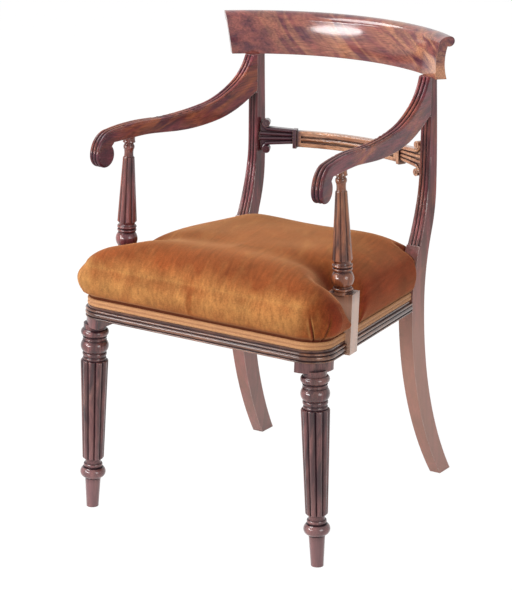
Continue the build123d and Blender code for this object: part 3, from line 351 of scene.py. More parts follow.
# grain, tones, flame amount, feather; then shift, zone tone, gloss and colour of rubbed edges (pale ones
# also a painted highlight)
BOARDS = {
    "crest": ("x", CREST_TONES, 1.0, (0.3, 0.42, 2.0)),
    "arm": ("y", ARM_TONES, 0.7, (1.0, -0.28, 0.0), 0.13, ARM_SCROLL, 0.32, WORN_EDGE_HIGHLIGHT),
    "post": ("z", POST_TONES, 0.3, SLIGHT, 0.4, POST_FOOT_FADE_AND_PAINTED_REFLECTION, 0.28, WORN_EDGE_HIGHLIGHT),
    "left post": ("z", POST_TONES, 0.3, SLIGHT, 0.6, LEFT_POST_FOOT_FADE_AND_PAINTED_REFLECTION, 0.5, WORN_EDGE_HIGHLIGHT),
    "leg": ("z", LEG_TONES, 0.3, PLAIN, 0.77, LEG_FOOT),
    "support": ("z", SUPPORT_TONES, 0.4, PLAIN, 0.9, SUPPORT_BLOCK_FADE_AND_PAINTED_REFLECTION),
    "left support": ("z", DARK_SUPPORT_TONES, 0.3, PLAIN, 0.5, SUPPORT_BLOCK_FADE_AND_PAINTED_REFLECTION),
    "middle rail": ("x", MID_TONES, 0.6, SLIGHT, 0.56, DARK_COLLAR),
    "front strip": ("x", STRIP_TONES, 0.1, PLAIN, 0.63),
    "side strip": ("y", STRIP_TONES, 0.1, PLAIN, 0.21),
}
MAHOGANIES = {
    name: polished_mahogany(name.capitalize() + " mahogany", *board) for name, board in BOARDS.items()
}
print("kinds of mahogany:", len(MAHOGANIES))


# %% [markdown]
# The rails under the velvet are beech, a pale, plain timber that no one polished. It uses
# the same figure group with quiet colours and no coat. The screws are steel with a few
# spots of rust.

# %% Beech and steel
BEECH_TONES = ((0.3, 0.19, 0.105), (0.43, 0.29, 0.17), (0.5, 0.36, 0.22))


def plain_beech(grain):
    material, tree, shader = new_material("Beech along " + grain, 0.62)
    figure = figure_node(tree, grain_along(tree, object_place(tree), grain), BEECH_TONES, 0.25)
    ageing_and_shade = put(tree, "ShaderNodeGroup", node_tree=EDGES_AND_HOLLOW_SHADE)
    # The hollows go a dull brown: dust and painted shade.
    dust_and_shade = sum_up(tree, "MULTIPLY", ageing_and_shade.outputs["Hollow shade"], 0.5)
    colour = mix_colours(tree, dust_and_shade, figure.outputs["Color"], (0.1, 0.07, 0.045, 1))
    feed(tree, shader.inputs["Base Color"], colour)
    add_bump(tree, shader, figure.outputs["Pores"], 0.3, 0.0003, ageing_and_shade.outputs["Normal"])
    return material


BEECH = {grain: plain_beech(grain) for grain in "xy"}


def old_steel():
    material, tree, shader = new_material("Screw steel", 0.45)
    spots = remap(tree, noise_at(tree, object_place(tree), (700, 700, 700), 4), 0.4, 0.65)
    colour = mix_colours(tree, spots, (0.42, 0.41, 0.4, 1), (0.16, 0.11, 0.08, 1))
    feed(tree, shader.inputs["Base Color"], colour)
    feed(tree, shader.inputs["Roughness"], remap(tree, spots, 0, 1, 0.35, 0.7))
    feed(tree, shader.inputs["Metallic"], remap(tree, spots, 0, 1, 1.0, 0.4))
    return material


STEEL = old_steel()
print("beech runs along:", ", ".join(BEECH))


# %% [markdown]
# Each CAD node now gets its finish. The nodes' names say what they are, so a short list
# of words is enough to choose; the first word that fits wins.

# %% Finishes for the wooden parts
FINISH_BY_WORD = [
    ("crest_rail", MAHOGANIES["crest"]),
    ("mid_rail", MAHOGANIES["middle rail"]),
    ("left_arm_support", MAHOGANIES["left support"]),
    ("arm_support", MAHOGANIES["support"]),
    ("left_rear_post", MAHOGANIES["left post"]),
    ("rear_post", MAHOGANIES["post"]),
    ("front_leg", MAHOGANIES["leg"]),
    ("side_moulding", MAHOGANIES["side strip"]),
    ("moulding", MAHOGANIES["front strip"]),
    ("side_seat_rail", BEECH["y"]),
    ("seat_rail", BEECH["x"]),
    ("corner_block", BEECH["x"]),
    ("screws", STEEL),
    ("arm", MAHOGANIES["arm"]),
]

dressed = 0
for name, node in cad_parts.items():
    finish = next((material for word, material in FINISH_BY_WORD if word in name), None)
    if finish:
        node.data.materials.clear()
        node.data.materials.append(finish)
        dressed += 1
print("wooden and metal nodes dressed:", dressed, "of", len(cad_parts))


# %% [markdown]
# The seat is a trapezium with round front corners, lying in a plane that falls a little
# towards the back. All soft parts are laid out in that plane: *across* the chair, *depth*
# behind its front and *height* above the underside of the rails. *Run* is a distance along
# the side. These few sizes are the maker's, in metres.

# %% The plane of the seat
SEAT_TILT = math.radians(2.6)
SEAT_FRONT = -0.280
RAIL_BOTTOM = 0.370
HALF_WIDTH = 0.263
SIDE_ANGLE = math.radians(8.04)
SEAT_BACK = 0.464
CORNER_RADIUS = 0.048
POST_FACE = 0.4155
POST_INNER = 0.1733
SUPPORT_RUN = 0.122
SUPPORT_HALF = 0.0175
SUPPORT_INSET = 0.0425
OUTWARDS = np.array([math.cos(SIDE_ANGLE), math.sin(SIDE_ANGLE)])
BACKWARDS = np.array([-math.sin(SIDE_ANGLE), math.cos(SIDE_ANGLE)])
CORNER_START = CORNER_RADIUS * math.tan((math.pi / 2 + SIDE_ANGLE) / 2)


def grid_in_room(grid):
    """From a grid of (across, depth, height) to places in the room, one after another."""
    across, depth, height = np.moveaxis(grid, -1, 0)
    back = SEAT_FRONT + depth * math.cos(SEAT_TILT) + height * math.sin(SEAT_TILT)
    up = RAIL_BOTTOM - depth * math.sin(SEAT_TILT) + height * math.cos(SEAT_TILT)
    return np.stack([across, back, up], axis=-1).reshape(-1, 3)


def turned_way(angle):
    return np.array([math.cos(math.radians(angle)), math.sin(math.radians(angle))])


def between(start, end, share):
    return (1 - share) * start + share * end


def on_side(run):
    """Point of the right edge of the seat, at a distance along it from the front."""
    return np.array([HALF_WIDTH, 0]) + run * BACKWARDS


def mesh_piece(name, points, faces, material, smooth=True):
    mesh = bpy.data.meshes.new(name)
    mesh.from_pydata([tuple(p) for p in points], [], faces)
    mesh.validate()
    mesh.polygons.foreach_set("use_smooth", [smooth] * len(mesh.polygons))
    mesh.materials.append(material)
    piece = bpy.data.objects.new(name, mesh)
    bpy.context.scene.collection.objects.link(piece)
    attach(piece, "root")
    return piece


def band_faces(rows, columns, closed=False):
    """Quads between neighbouring rows of points; closed joins the last column to the first."""
    faces = []
    for low in range(0, (rows - 1) * columns, columns):
        high = low + columns
        for column in range(columns if closed else columns - 1):
            after = (column + 1) % columns
            faces.append((low + column, low + after, high + after, high + column))
    return faces


print("the seat falls backwards by", round(math.degrees(SEAT_TILT), 2), "degrees")


# %% [markdown]
# Velvet is a forest of short threads that lean one way, the nap. Seen along the lean it is
# pale and golden, seen against it deep and red. The group mixes its three colours by the
# surface's own normal, partly for the nap and partly as painted light: pale where it faces the
# low lamp at the front left, deep where it faces right, away from that lamp, as painted shade.
# It adds the brushed look of a seat that has been sat on, and gives the pile a fine height for
# the bump. The velvet gets painted shade in its creases, and a painted shadow just above the
# braid, where it dives behind it.

# %% Group: nap and painted light of the velvet
def velvet_nap_and_light():
    group, given, wanted = start_group(
        "Nap and painted light of velvet",
        [
            ("Vector", "Vector", None),
            ("Pale", "Color", (0.5, 0.25, 0.1, 1)),
            ("Body", "Color", (0.4, 0.14, 0.05, 1)),
            ("Deep", "Color", (0.3, 0.07, 0.03, 1)),
        ],
        [("Color", "Color"), ("Pile", "Float")],
    )
    facing = put(group, "ShaderNodeNewGeometry").outputs["Normal"]
    # Pale where the surface faces the low lamp at the front left: painted light as well as nap. Deep where
    # it faces right: painted shade as well as nap.
    facing_key_lamp = dot(group, facing, (-0.42, -0.9, 0.1))
    sidewards = dot(group, facing, (0.9, 0.42, 0.1))
    brushed = noise_at(group, given["Vector"], (34, 9, 20), 5, 0.6, (0, 0, 0.5))
    bruised = noise_at(group, given["Vector"], (12, 15, 12), 5, 0.8)
    streaks = noise_at(group, given["Vector"], (190, 14, 90), 4, 0.2, (0, 0, 0.22))
    tufts = noise_at(group, given["Vector"], (420, 420, 420), 3)
    uneven = remap(group, brushed, 0.3, 0.7, -0.3, 0.24)
    pale = sum_up(group, "ADD", remap(group, facing_key_lamp, 0.5, 1.0), uneven)
    colour = mix_colours(group, sum_up(group, "MAXIMUM", pale, 0), given["Body"], given["Pale"])
    colour = mix_colours(group, remap(group, sidewards, 0.32, 0.76), colour, given["Deep"])
    pile = noise_at(group, given["Vector"], (1500, 1500, 1500), 2)
    marks = ((bruised, 0.78, 1.16), (streaks, 0.8, 1.2), (tufts, 0.8, 1.18), (pile, 0.9, 1.1))
    for noise, low, high in marks:
        colour = mix_colours(group, 1.0, colour, remap(group, noise, 0.3, 0.7, low, high), "MULTIPLY")
    group.links.new(colour, wanted["Color"])
    group.links.new(pile, wanted["Pile"])
    return group


VELVET_NAP_AND_LIGHT = velvet_nap_and_light()


def velvet(name, pale, body, deep, sheen):
    material, tree, shader = new_material(name, 0.85)
    place = object_place(tree)
    nap = put(tree, "ShaderNodeGroup", {"Vector": place}, node_tree=VELVET_NAP_AND_LIGHT)
    for label, value in (("Pale", pale), ("Body", body), ("Deep", deep)):
        nap.inputs[label].default_value = (*value, 1)
    creases = put(tree, "ShaderNodeGroup", node_tree=EDGES_AND_HOLLOW_SHADE)
    creases.inputs["Hollow depth"].default_value = 0.016
    creases.inputs["Hollow start"].default_value = 0.82
    # Painted shadow on the velvet just above the braid, where it dives behind it, and painted shade in its
    # creases: both darken the nap to a deep red.
    parts = put(tree, "ShaderNodeSeparateXYZ", {0: place}).outputs
    level = sum_up(tree, "MULTIPLY_ADD", parts["Y"], math.tan(SEAT_TILT), parts["Z"])
    braid_top = RAIL_BOTTOM + SEAT_FRONT * math.tan(SEAT_TILT) + 0.0385
    painted_foot_shadow = remap(tree, level, braid_top + 0.009, braid_top + 0.002, 0, 0.95)
    crease_shade = sum_up(tree, "MULTIPLY", creases.outputs["Hollow shade"], 0.85)
    shaded = sum_up(tree, "MAXIMUM", crease_shade, painted_foot_shadow)
    colour = mix_colours(tree, shaded, nap.outputs["Color"], (*[c * 0.28 for c in deep], 1))
    feed(tree, shader.inputs["Base Color"], colour)
    shader.inputs["Specular IOR Level"].default_value = 0.1
    shader.inputs["Sheen Weight"].default_value = sheen
    shader.inputs["Sheen Roughness"].default_value = 0.38
    shader.inputs["Sheen Tint"].default_value = (0.95, 0.52, 0.24, 1)
    add_bump(tree, shader, nap.outputs["Pile"], 0.35, 0.0005)
    return material


# Pale is the painted lit colour of faces turned to the low lamp; deep, on faces turned right, is painted
# shade as well as nap.
RUST_VELVET = velvet(
    "Rust velvet", pale=(0.37, 0.165, 0.05), body=(0.209, 0.05, 0.012), deep=(0.21, 0.032, 0.012), sheen=0.56
)
print("nodes in the nap group:", len(VELVET_NAP_AND_LIGHT.nodes))


# %% [markdown]
# The seat is stuffed over the rails: velvet pulled down over curled hair and tacked below.
# Its outline is a closed line of columns round the seat. Where the cover is cut round a back
# post the outline steps in, and where it is cut round an arm support the columns are pushed
# in to the support's inner face. Columns stand close together at the corners and cuts, where
# the cloth has its tucks, and wide apart elsewhere.

# %% Outline of the velvet seat
INNER_LOOP = 0.044
SIDE_END = POST_FACE / math.cos(SIDE_ANGLE)
CORNER_CENTRE = np.array([HALF_WIDTH - CORNER_START, CORNER_RADIUS])
CUT_STEPS = (0.0003, 0.001, 0.002, 0.0032, 0.0045, 0.006, 0.0075, 0.0095, 0.012)
POST_STEPS = (0.0003, 0.001, 0.002, 0.0035, 0.0055, 0.008, 0.011)
DRAWN_IN_FROM, DRAWN_IN = 0.33, 0.65
LOOP_CORNER = np.array([0.149, SEAT_BACK - 0.052])


def inner_point(run):
    """Partner of a side column; near the back post the partners crowd together."""
    if run > DRAWN_IN_FROM:
        run = DRAWN_IN_FROM + (run - DRAWN_IN_FROM) * DRAWN_IN
    return on_side(run) - INNER_LOOP * OUTWARDS


def outline_columns():
    """Right half of the outline, front middle to back middle. Each column has its foot on the
    outline, a partner on an inner loop, its outward direction, how much of a free stuffed side
    it is (1) or a cut edge (0), its angle round the front corner (30 past it), and its run
    along the side (-1 off it, -2 at the back)."""
    columns = []
    for across in np.linspace(0, HALF_WIDTH - CORNER_START, 44, endpoint=False):
        columns.append(((across, 0), (across, INNER_LOOP), (0, -1), 1, -90, -1))
    for angle in np.linspace(-90, math.degrees(SIDE_ANGLE), 84, endpoint=False):
        way = turned_way(angle)
        inner = CORNER_CENTRE + (CORNER_RADIUS - INNER_LOOP) * way
        columns.append((CORNER_CENTRE + CORNER_RADIUS * way, inner, way, 1, angle, -1))
    near, far = SUPPORT_RUN - SUPPORT_HALF, SUPPORT_RUN + SUPPORT_HALF
    runs = list(CORNER_START + np.arange(0, near - CORNER_START - CUT_STEPS[-1], 0.0028))
    runs += [near - gap for gap in reversed(CUT_STEPS)]
    runs += list(np.linspace(near + CUT_STEPS[0], far - CUT_STEPS[0], 14))
    runs += [far + gap for gap in CUT_STEPS]
    runs += list(np.arange(far + 0.015, SIDE_END - 0.012, 0.0042))
    runs += [SIDE_END - gap for gap in reversed(POST_STEPS)]
    for run in runs:
        columns.append((on_side(run), inner_point(run), OUTWARDS, 1, 30, run))
    corner, inner_corner = on_side(SIDE_END), inner_point(SIDE_END)
    along_loop = LOOP_CORNER - inner_corner
    for share in np.linspace(0.02, 1, 16):
        foot = between(corner, np.array([POST_INNER, POST_FACE]), share)
        columns.append((foot, inner_corner + 0.55 * share * along_loop, (0, 1), 0, 30, -1))
    for share in np.linspace(0.08, 0.98, 13):
        foot = (POST_INNER, between(POST_FACE, SEAT_BACK, share))
        columns.append((foot, inner_corner + (0.55 + 0.45 * share) * along_loop, (1, 0), 0, 30, -1))
    for across in np.linspace(POST_INNER - 0.0003, 0, 40):
        inner = (across * LOOP_CORNER[0] / POST_INNER, LOOP_CORNER[1])
        columns.append(((across, SEAT_BACK), inner, (0, 1), 1, 30, -2))
    return columns


half = outline_columns()
print("columns on the right half of the seat:", len(half))


# %% [markdown]
# The top is one height function of the place. It rises steeply from the edge and flattens
# to a crown; a roll of firmer stuffing runs behind the front edge, with a valley behind it
# where sitters have worn the seat; and the cloth sinks where it is cut and tucked round the
# arm supports.

# %% Height of the stuffed top
EDGE_HEIGHT = 0.097
CROWN_RISE = 0.050
CROWN_REACH = 0.128
CORNER_POWER = 5.3


def bell(distance, width):
    """One at the middle, falling smoothly to nothing within a few widths."""
    return math.exp(-((distance / width) ** 2))


def distance_to_support(across, depth):
    """How far a point is from the place of an arm support, in the plane of the seat."""
    from_corner = np.array([abs(across) - HALF_WIDTH, depth])
    beside = abs(from_corner @ BACKWARDS - SUPPORT_RUN) - SUPPORT_HALF
    inside = -(from_corner @ OUTWARDS) - SUPPORT_INSET + 0.001
    return np.hypot(max(beside, 0), max(inside, 0))


def plain_crown(across, depth):
    """The crown alone, without roll, hollows or lumps."""
    side = (HALF_WIDTH - depth * math.tan(SIDE_ANGLE) - abs(across)) * math.cos(SIDE_ANGLE)
    gaps = (side, depth, SEAT_BACK - depth)
    nearness = [np.clip(1 - gap / CROWN_REACH, 0, 1) ** CORNER_POWER for gap in gaps]
    edge = np.minimum(sum(nearness), 1) ** (2 / CORNER_POWER)
    return EDGE_HEIGHT + CROWN_RISE * (1 - edge) ** (2 / 3)


def hollows(across, depth):
    roll = 0.0015 * bell(depth - 0.06, 0.035)
    sat_in = 0.001 + (0.058 * across if across > 0 else -0.004 * across)
    valley = sat_in * bell(depth - 0.132, 0.034)
    gap = distance_to_support(across, depth)
    sunk = 0.024 * bell(gap, 0.026) + 0.006 * bell(gap, 0.07)
    lumps = 0.0012 * math.sin(across * 31 + 1.3) * math.sin(depth * 27 + 0.4)
    return roll - valley - sunk + lumps


def top_height(across, depth):
    return plain_crown(across, depth) + hollows(across, depth)


def turn_over(place, inner, share):
    """Height between the edge (share 0) and the inner loop (share 1), the same all round."""
    reach = share * INNER_LOOP / CROWN_REACH
    full = INNER_LOOP / CROWN_REACH
    profile = ((2 * reach - reach**2) / (2 * full - full**2)) ** (2 / 3)
    rise = EDGE_HEIGHT + (plain_crown(*inner) - EDGE_HEIGHT) * profile
    weight = share**2 * (3 - 2 * share)
    return between(rise, plain_crown(*place), weight) + hollows(*place)


print("crown of the seat over the rails:", round(float(top_height(0, 0.2)), 4))


# %% [markdown]
# Every column climbs from its foot behind the braid up the swelling side, turns over the
# edge, crosses to the inner loop and runs on to the middle of the seat. Two tucks gather
# the velvet at each front corner: narrow grooves that lean towards each other. The form is
# closed below by a lining that runs just above the hessian.

# %% The velvet seat
SIDE_ROWS, EDGE_ROWS, TOP_ROWS = 24, 16, 20
FOOT_HEIGHT, FOOT_INSET, CUT_FOOT = 0.0223, 0.0062, 0.0645
BELLY_LOW, BELLY_SWELL, BELLY_ROUNDNESS = 0.044, 0.006, 0.6
BRAID_TOP = 0.0387
LEFT_FULLNESS, RIGHT_FULLNESS = 1.4, 0.8
SUPPORT_ROUNDING, POST_ROUNDING = 0.0045, 0.006
TUCKS = [((-50, 0.030), (-61, 0.086)), ((-36, 0.030), (-22, 0.088))]
TUCK_DEPTH, TUCK_LIP = 0.0054, 0.002
TUCK_TOP, TUCK_REACH = 0.084, 20
LINING_HEIGHT, LINING_GAP = 0.0640, 0.0016
SEAT_MIDDLE = np.array([0, 0.215])


def side_inset(height, top, swell):
    """How far the side stands inside the outline: foot, swelling belly, edge."""
    if height < BRAID_TOP:
        inset = FOOT_INSET
    elif height < BELLY_LOW:
        share = (height - BRAID_TOP) / (BELLY_LOW - BRAID_TOP)
        inset = FOOT_INSET * (1 - math.sin(share * math.pi / 2))
    else:
        share = min(1, (height - BELLY_LOW) / (top - BELLY_LOW))
        power = BELLY_ROUNDNESS + 0.5 * share
        inset = -BELLY_SWELL * max(0, math.sin(math.pi * share)) ** power
    return inset * swell


def cut_rounding(run):
    """How far the cloth is rounded inwards beside an arm support or a back post."""
    to_support, to_post = abs(run - SUPPORT_RUN) - SUPPORT_HALF, SIDE_END - run
    inwards = 0
    for gap, radius in ((to_support, SUPPORT_ROUNDING), (to_post, POST_ROUNDING)):
        if 0 <= gap < radius:
            inwards += radius - math.sqrt(radius**2 - (radius - gap) ** 2)
    return inwards


def tuck_depth(angle, height):
    """Each tuck is a narrow groove with a low lip beside it; across it, millimetres count."""
    if angle > TUCK_REACH:
        return 0
    depth = 0
    for (low_angle, low), (high_angle, high) in TUCKS:
        share = min(1, max(0, (height - low) / (high - low)))
        place = between(low_angle, high_angle, share)
        offset = (angle - place) * math.radians(1) * CORNER_RADIUS * 1000
        fade = (1 - share**2) if height < high else 0
        depth += fade * (TUCK_DEPTH * bell(offset, 1.1) - TUCK_LIP * bell(offset + 3.2, 2.4))
    return depth


def lining_points(foot, inner, start):
    """Points under the seat: in from near its middle, then down to just above the start."""
    points = [(between(inner, SEAT_MIDDLE, share), LINING_HEIGHT) for share in (0.8, 0.6, 0.4, 0.2)]
    if start < LINING_HEIGHT - 0.003:
        heights = (LINING_HEIGHT, (start + LINING_HEIGHT) / 2, start + 0.0004)
    else:
        heights = (LINING_HEIGHT - 0.0002, LINING_HEIGHT, LINING_HEIGHT + 0.0002)
    return points + [(foot, height) for height in heights]


def climb(column, mirrored):
    """All points of one column, from the lining round to the middle of the seat."""
    foot, inner, way = (np.array(part, float) for part in column[:3])
    free, angle, run = column[3:]
    pushed = 0 <= run and abs(run - SUPPORT_RUN) < SUPPORT_HALF
    stuffed = free and not pushed
    start = FOOT_HEIGHT if stuffed else CUT_FOOT
    rounding = cut_rounding(run) if run >= 0 and not pushed else 0
    extra = LEFT_FULLNESS if mirrored else RIGHT_FULLNESS
    fullness = 1 + extra * bell(max(0, run), 0.1) if run > -2 else 1
    swell = fullness * (1 - 0.8 * min(1, rounding / POST_ROUNDING))
    if pushed:
        foot = foot - SUPPORT_INSET * way
    edge = foot - rounding * way
    top = EDGE_HEIGHT + hollows(*edge)
    lining_foot = edge - (side_inset(start, top, free) + LINING_GAP) * way
    points = lining_points(lining_foot, inner, start)
    for row in range(SIDE_ROWS):
        height = start + (top - start) * row / SIDE_ROWS
        if stuffed and height < BRAID_TOP:
            inset = FOOT_INSET
        else:
            inset = (side_inset(height, top, swell) if stuffed else 0) + tuck_depth(angle, height)
        points.append((edge - inset * way, height))
    for row in range(EDGE_ROWS):
        share = (row / EDGE_ROWS) ** 2
        place = between(edge, inner, share)
        fold = 0.6 * tuck_depth(angle, TUCK_TOP) * max(0, 1 - share / 0.1)
        points.append((place, turn_over(place, inner, share) - fold))
    for row in range(TOP_ROWS):
        place = between(inner, SEAT_MIDDLE, row / TOP_ROWS)
        points.append((place, top_height(*place)))
    mirror = -1 if mirrored else 1
    return [(mirror * across, depth, height) for (across, depth), height in points]


def velvet_seat():
    columns = [climb(column, False) for column in half]
    columns += [climb(column, True) for column in reversed(half[1:-1])]
    grid = np.array(columns).transpose(1, 0, 2)
    rows, count = grid.shape[:2]
    middles = [(*SEAT_MIDDLE, top_height(*SEAT_MIDDLE)), (*SEAT_MIDDLE, LINING_HEIGHT)]
    points = np.vstack([grid_in_room(grid), grid_in_room(np.array(middles))])
    faces = band_faces(rows, count, closed=True)
    last, over, under = (rows - 1) * count, rows * count, rows * count + 1
    for column in range(count):
        after = (column + 1) % count
        faces.append((last + column, last + after, over))
        faces.append((after, column, under))
    return mesh_piece("velvet_seat", points, faces, RUST_VELVET)


seat = velvet_seat()
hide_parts("seat_cover", "stuffing_pad")
print("points in the velvet seat:", len(seat.data.vertices))


# %% [markdown]
# Gimp braid hides the tacks. It is a narrow band with two raised ribs, and its threads cross
# in small chevrons. A band is swept along the foot of the velvet; its section is a list of
# places across it, and at every step along it the surface rises and falls with the threads.

# %% Gimp braid
BRAID_WIDTH = 0.014
BRAID_CUT = SUPPORT_HALF - 0.0007
THREAD_STEP = 0.0011
DARK_THREAD, LIGHT_THREAD = (0.33, 0.14, 0.05, 1), (0.54, 0.26, 0.1, 1)
# The worn thread marks the braid's own wear; the shaded thread is the painted shade of its grooves.
WORN_THREAD, SHADED_THREAD = (0.36, 0.15, 0.06, 1), (0.16, 0.045, 0.015, 1)


def gold_braid():
    material, tree, shader = new_material("Gold braid", 0.7)
    place = object_place(tree)
    threads = noise_at(tree, place, (900, 900, 900), 3)
    worn = noise_at(tree, place, (45, 45, 45), 3)
    colour = mix_colours(tree, remap(tree, threads, 0.35, 0.65), DARK_THREAD, LIGHT_THREAD)
    colour = mix_colours(tree, remap(tree, worn, 0.45, 0.7, 0, 0.35), colour, WORN_THREAD)
    # Painted shade in the grooves between the braid's ribs, from the occlusion mask.
    grooves = put(tree, "ShaderNodeGroup", node_tree=EDGES_AND_HOLLOW_SHADE)
    grooves.inputs["Hollow depth"].default_value = 0.006
    grooves.inputs["Hollow start"].default_value = 0.93
    shaded = remap(tree, grooves.outputs["Hollow shade"], 0, 1, 0, 0.55)
    feed(tree, shader.inputs["Base Color"], mix_colours(tree, shaded, colour, SHADED_THREAD))
    shader.inputs["Sheen Weight"].default_value = 0.15
    add_bump(tree, shader, threads, 0.4, 0.0003)
    return material


GOLD_BRAID = gold_braid()


def braid_rise(across, along):
    """How far the braid stands off at a place across its width (0 to 1) and along it."""
    rib = abs(math.sin(across * 2 * math.pi)) ** 0.6
    lean = 1 if across < 0.5 else -1
    thread = 0.5 + 0.5 * math.sin((along / THREAD_STEP / 2 + lean * across * 2.2) * 2 * math.pi)
    edge = min(1, across / 0.05, (1 - across) / 0.05)
    return (0.0004 + 0.0016 * rib + 0.00025 * thread * rib) * edge + 0.0002


def sweep_braid(name, path, ways, nodes):
    """path and ways are points and outward directions in the plane of the seat."""
    path, ways = np.array(path), np.array(ways)
    lengths = np.concatenate([[0], np.cumsum(np.linalg.norm(np.diff(path, axis=0), axis=1))])
    count = int(lengths[-1] / (THREAD_STEP * 0.8))
    along = np.linspace(0, lengths[-1], count)
    xs, ys, wx, wy = (np.interp(along, lengths, column) for column in (*path.T, *ways.T))
    section = np.linspace(0, 1, 17)
    rows = []
    heights = list(FOOT_HEIGHT + BRAID_WIDTH * section)
    heights += [heights[-1], heights[0]]
    for x, y, out_x, out_y, run in zip(xs, ys, wx, wy, along):
        rises = [braid_rise(across, run) for across in section] + [0.00005, 0.00005]
        rows.append([(x + out_x * rise, y + out_y * rise, up) for rise, up in zip(rises, heights)])
    sides = len(heights)
    faces = [face[::-1] for face in band_faces(count, sides, closed=True)]
    faces.append(tuple(range(sides)))
    faces.append(tuple(reversed(range((count - 1) * sides, count * sides))))
    piece = mesh_piece(name, grid_in_room(np.array(rows)), faces, GOLD_BRAID)
    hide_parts(*nodes)
    return piece


def side_path(low, high):
    runs = np.linspace(low, high, 40)
    return [on_side(run) - FOOT_INSET * OUTWARDS for run in runs], [OUTWARDS] * len(runs)


def mirrored(places):
    return [(-x, y) for x, y in reversed(places)]


def front_path():
    points, ways = [(0.0, FOOT_INSET)], [(0.0, -1.0)]
    for angle in np.linspace(-90, math.degrees(SIDE_ANGLE), 60):
        ways.append(turned_way(angle))
        points.append(CORNER_CENTRE + (CORNER_RADIUS - FOOT_INSET) * ways[-1])
    points.append(on_side(SUPPORT_RUN - BRAID_CUT) - FOOT_INSET * OUTWARDS)
    ways.append(OUTWARDS)
    return mirrored(points[1:]) + points, mirrored(ways[1:]) + ways


sweep_braid("front_gimp", *front_path(), ["front_braid"])
side_points, side_ways = side_path(SUPPORT_RUN + BRAID_CUT, SIDE_END - 0.0002)
sweep_braid("right_gimp", side_points, side_ways, ["right_side_braid"])
sweep_braid("left_gimp", mirrored(side_points), mirrored(side_ways), ["left_side_braid"])
back_end = (POST_INNER - 0.0008, SEAT_BACK - FOOT_INSET)
sweep_braid("back_gimp", [back_end, *mirrored([back_end])], [(0, 1), (0, 1)], ["back_braid"])


# %% [markdown]
# Under the seat, jute bands run both ways, each passing over one and under the next. They
# carry a sheet of hessian that keeps the hair in. Woven cloth is one more shared effect:
# two sets of threads at right angles, made from sine waves, with the height of whichever
# lies on top.

# %% Group: plain weave
def plain_weave():
    group, given, wanted = start_group(
        "Plain weave",
        [("Vector", "Vector", None), ("Threads per metre", "Float", 900.0), ("Slubs", "Float", 0.3)],
        [("Thread", "Float"), ("Gaps", "Float")],
    )
    ripple = noise_at(group, given["Vector"], (60, 60, 60), 2)
    parts = put(group, "ShaderNodeSeparateXYZ", {0: given["Vector"]})
    waves = []
    for axis in ("X", "Y"):
        turns = sum_up(group, "MULTIPLY", parts.outputs[axis], given["Threads per metre"])
        turns = sum_up(group, "MULTIPLY_ADD", ripple, given["Slubs"], turns)
        waves.append(sum_up(group, "SINE", sum_up(group, "MULTIPLY", turns, math.pi)))
    thread = sum_up(group, "MULTIPLY_ADD", sum_up(group, "MULTIPLY", *waves), 0.5, 0.5)
    shallow = sum_up(group, "MINIMUM", *[sum_up(group, "ABSOLUTE", wave) for wave in waves])
    group.links.new(thread, wanted["Thread"])
    group.links.new(remap(group, shallow, 0.25, 0.0), wanted["Gaps"])
    return group


PLAIN_WEAVE = plain_weave()


def woven(name, light, dark, threads):
    material, tree, shader = new_material(name, 0.85)
    place = object_place(tree)
    weave = put(tree, "ShaderNodeGroup", node_tree=PLAIN_WEAVE)
    feed(tree, weave.inputs["Vector"], place)
    feed(tree, weave.inputs["Threads per metre"], threads)
    slubs = noise_at(tree, place, (200, 200, 200), 3)
    colour = mix_colours(tree, remap(tree, slubs, 0.35, 0.65), (*dark, 1), (*light, 1))
    gaps = sum_up(tree, "MULTIPLY", weave.outputs["Gaps"], 0.7)
    colour = mix_colours(tree, gaps, colour, (*[c * 0.35 for c in dark], 1))
    feed(tree, shader.inputs["Base Color"], colour)
    add_bump(tree, shader, weave.outputs["Thread"], 0.6, 0.0005)
    return material


JUTE = woven("Jute webbing", (0.5, 0.4, 0.26), (0.33, 0.25, 0.15), 550)
HESSIAN = woven("Hessian", (0.36, 0.26, 0.15), (0.22, 0.15, 0.085), 700)
print("threads of the weaves:", JUTE.name, "and", HESSIAN.name)


# %% [markdown]
# A band of webbing is a flat strap. It is drawn as a thin closed box with many steps along
# it, and each step is lifted or lowered by a cosine, so that bands pass over and under.

# %% Webbing
WEB_WIDTH, WEB_THICK = 0.050, 0.0011
WEB_ACROSS = [-0.123, -0.041, 0.041, 0.123]
WEB_DEPTHS = [0.0725, 0.1685, 0.2645, 0.3605]
WEB_LEVEL = 0.0612
WEB_LIFT = 0.00058
WEB_STEPS = 90
PITCH_ACROSS, PITCH_DEEP = WEB_ACROSS[1] - WEB_ACROSS[0], WEB_DEPTHS[1] - WEB_DEPTHS[0]
FRAME_INSIDE, FRAME_BACK = 0.0215, 0.4425
STRAP_SECTION = [(-1, -1), (0, -1), (1, -1), (1, 1), (0, 1), (-1, 1)]


def strap(start, end, first, pitch, index, lift):
    """Points of a strap between two places (across, depth). It rises and falls with the
    bands that it crosses; first is the place of the first of them, pitch their spacing."""
    start, end = np.array(start), np.array(end)
    way = (end - start) / np.linalg.norm(end - start)
    side = np.array([-way[1], way[0]]) * WEB_WIDTH / 2
    rows = []
    for share in np.linspace(0, 1, WEB_STEPS):
        middle = between(start, end, share)
        passed = (middle @ way - first) / pitch
        level = WEB_LEVEL + lift * math.cos((passed + index) * math.pi)
        rows.append([(*(middle + side * k), level + up * WEB_THICK / 2) for k, up in STRAP_SECTION])
    return np.array(rows)


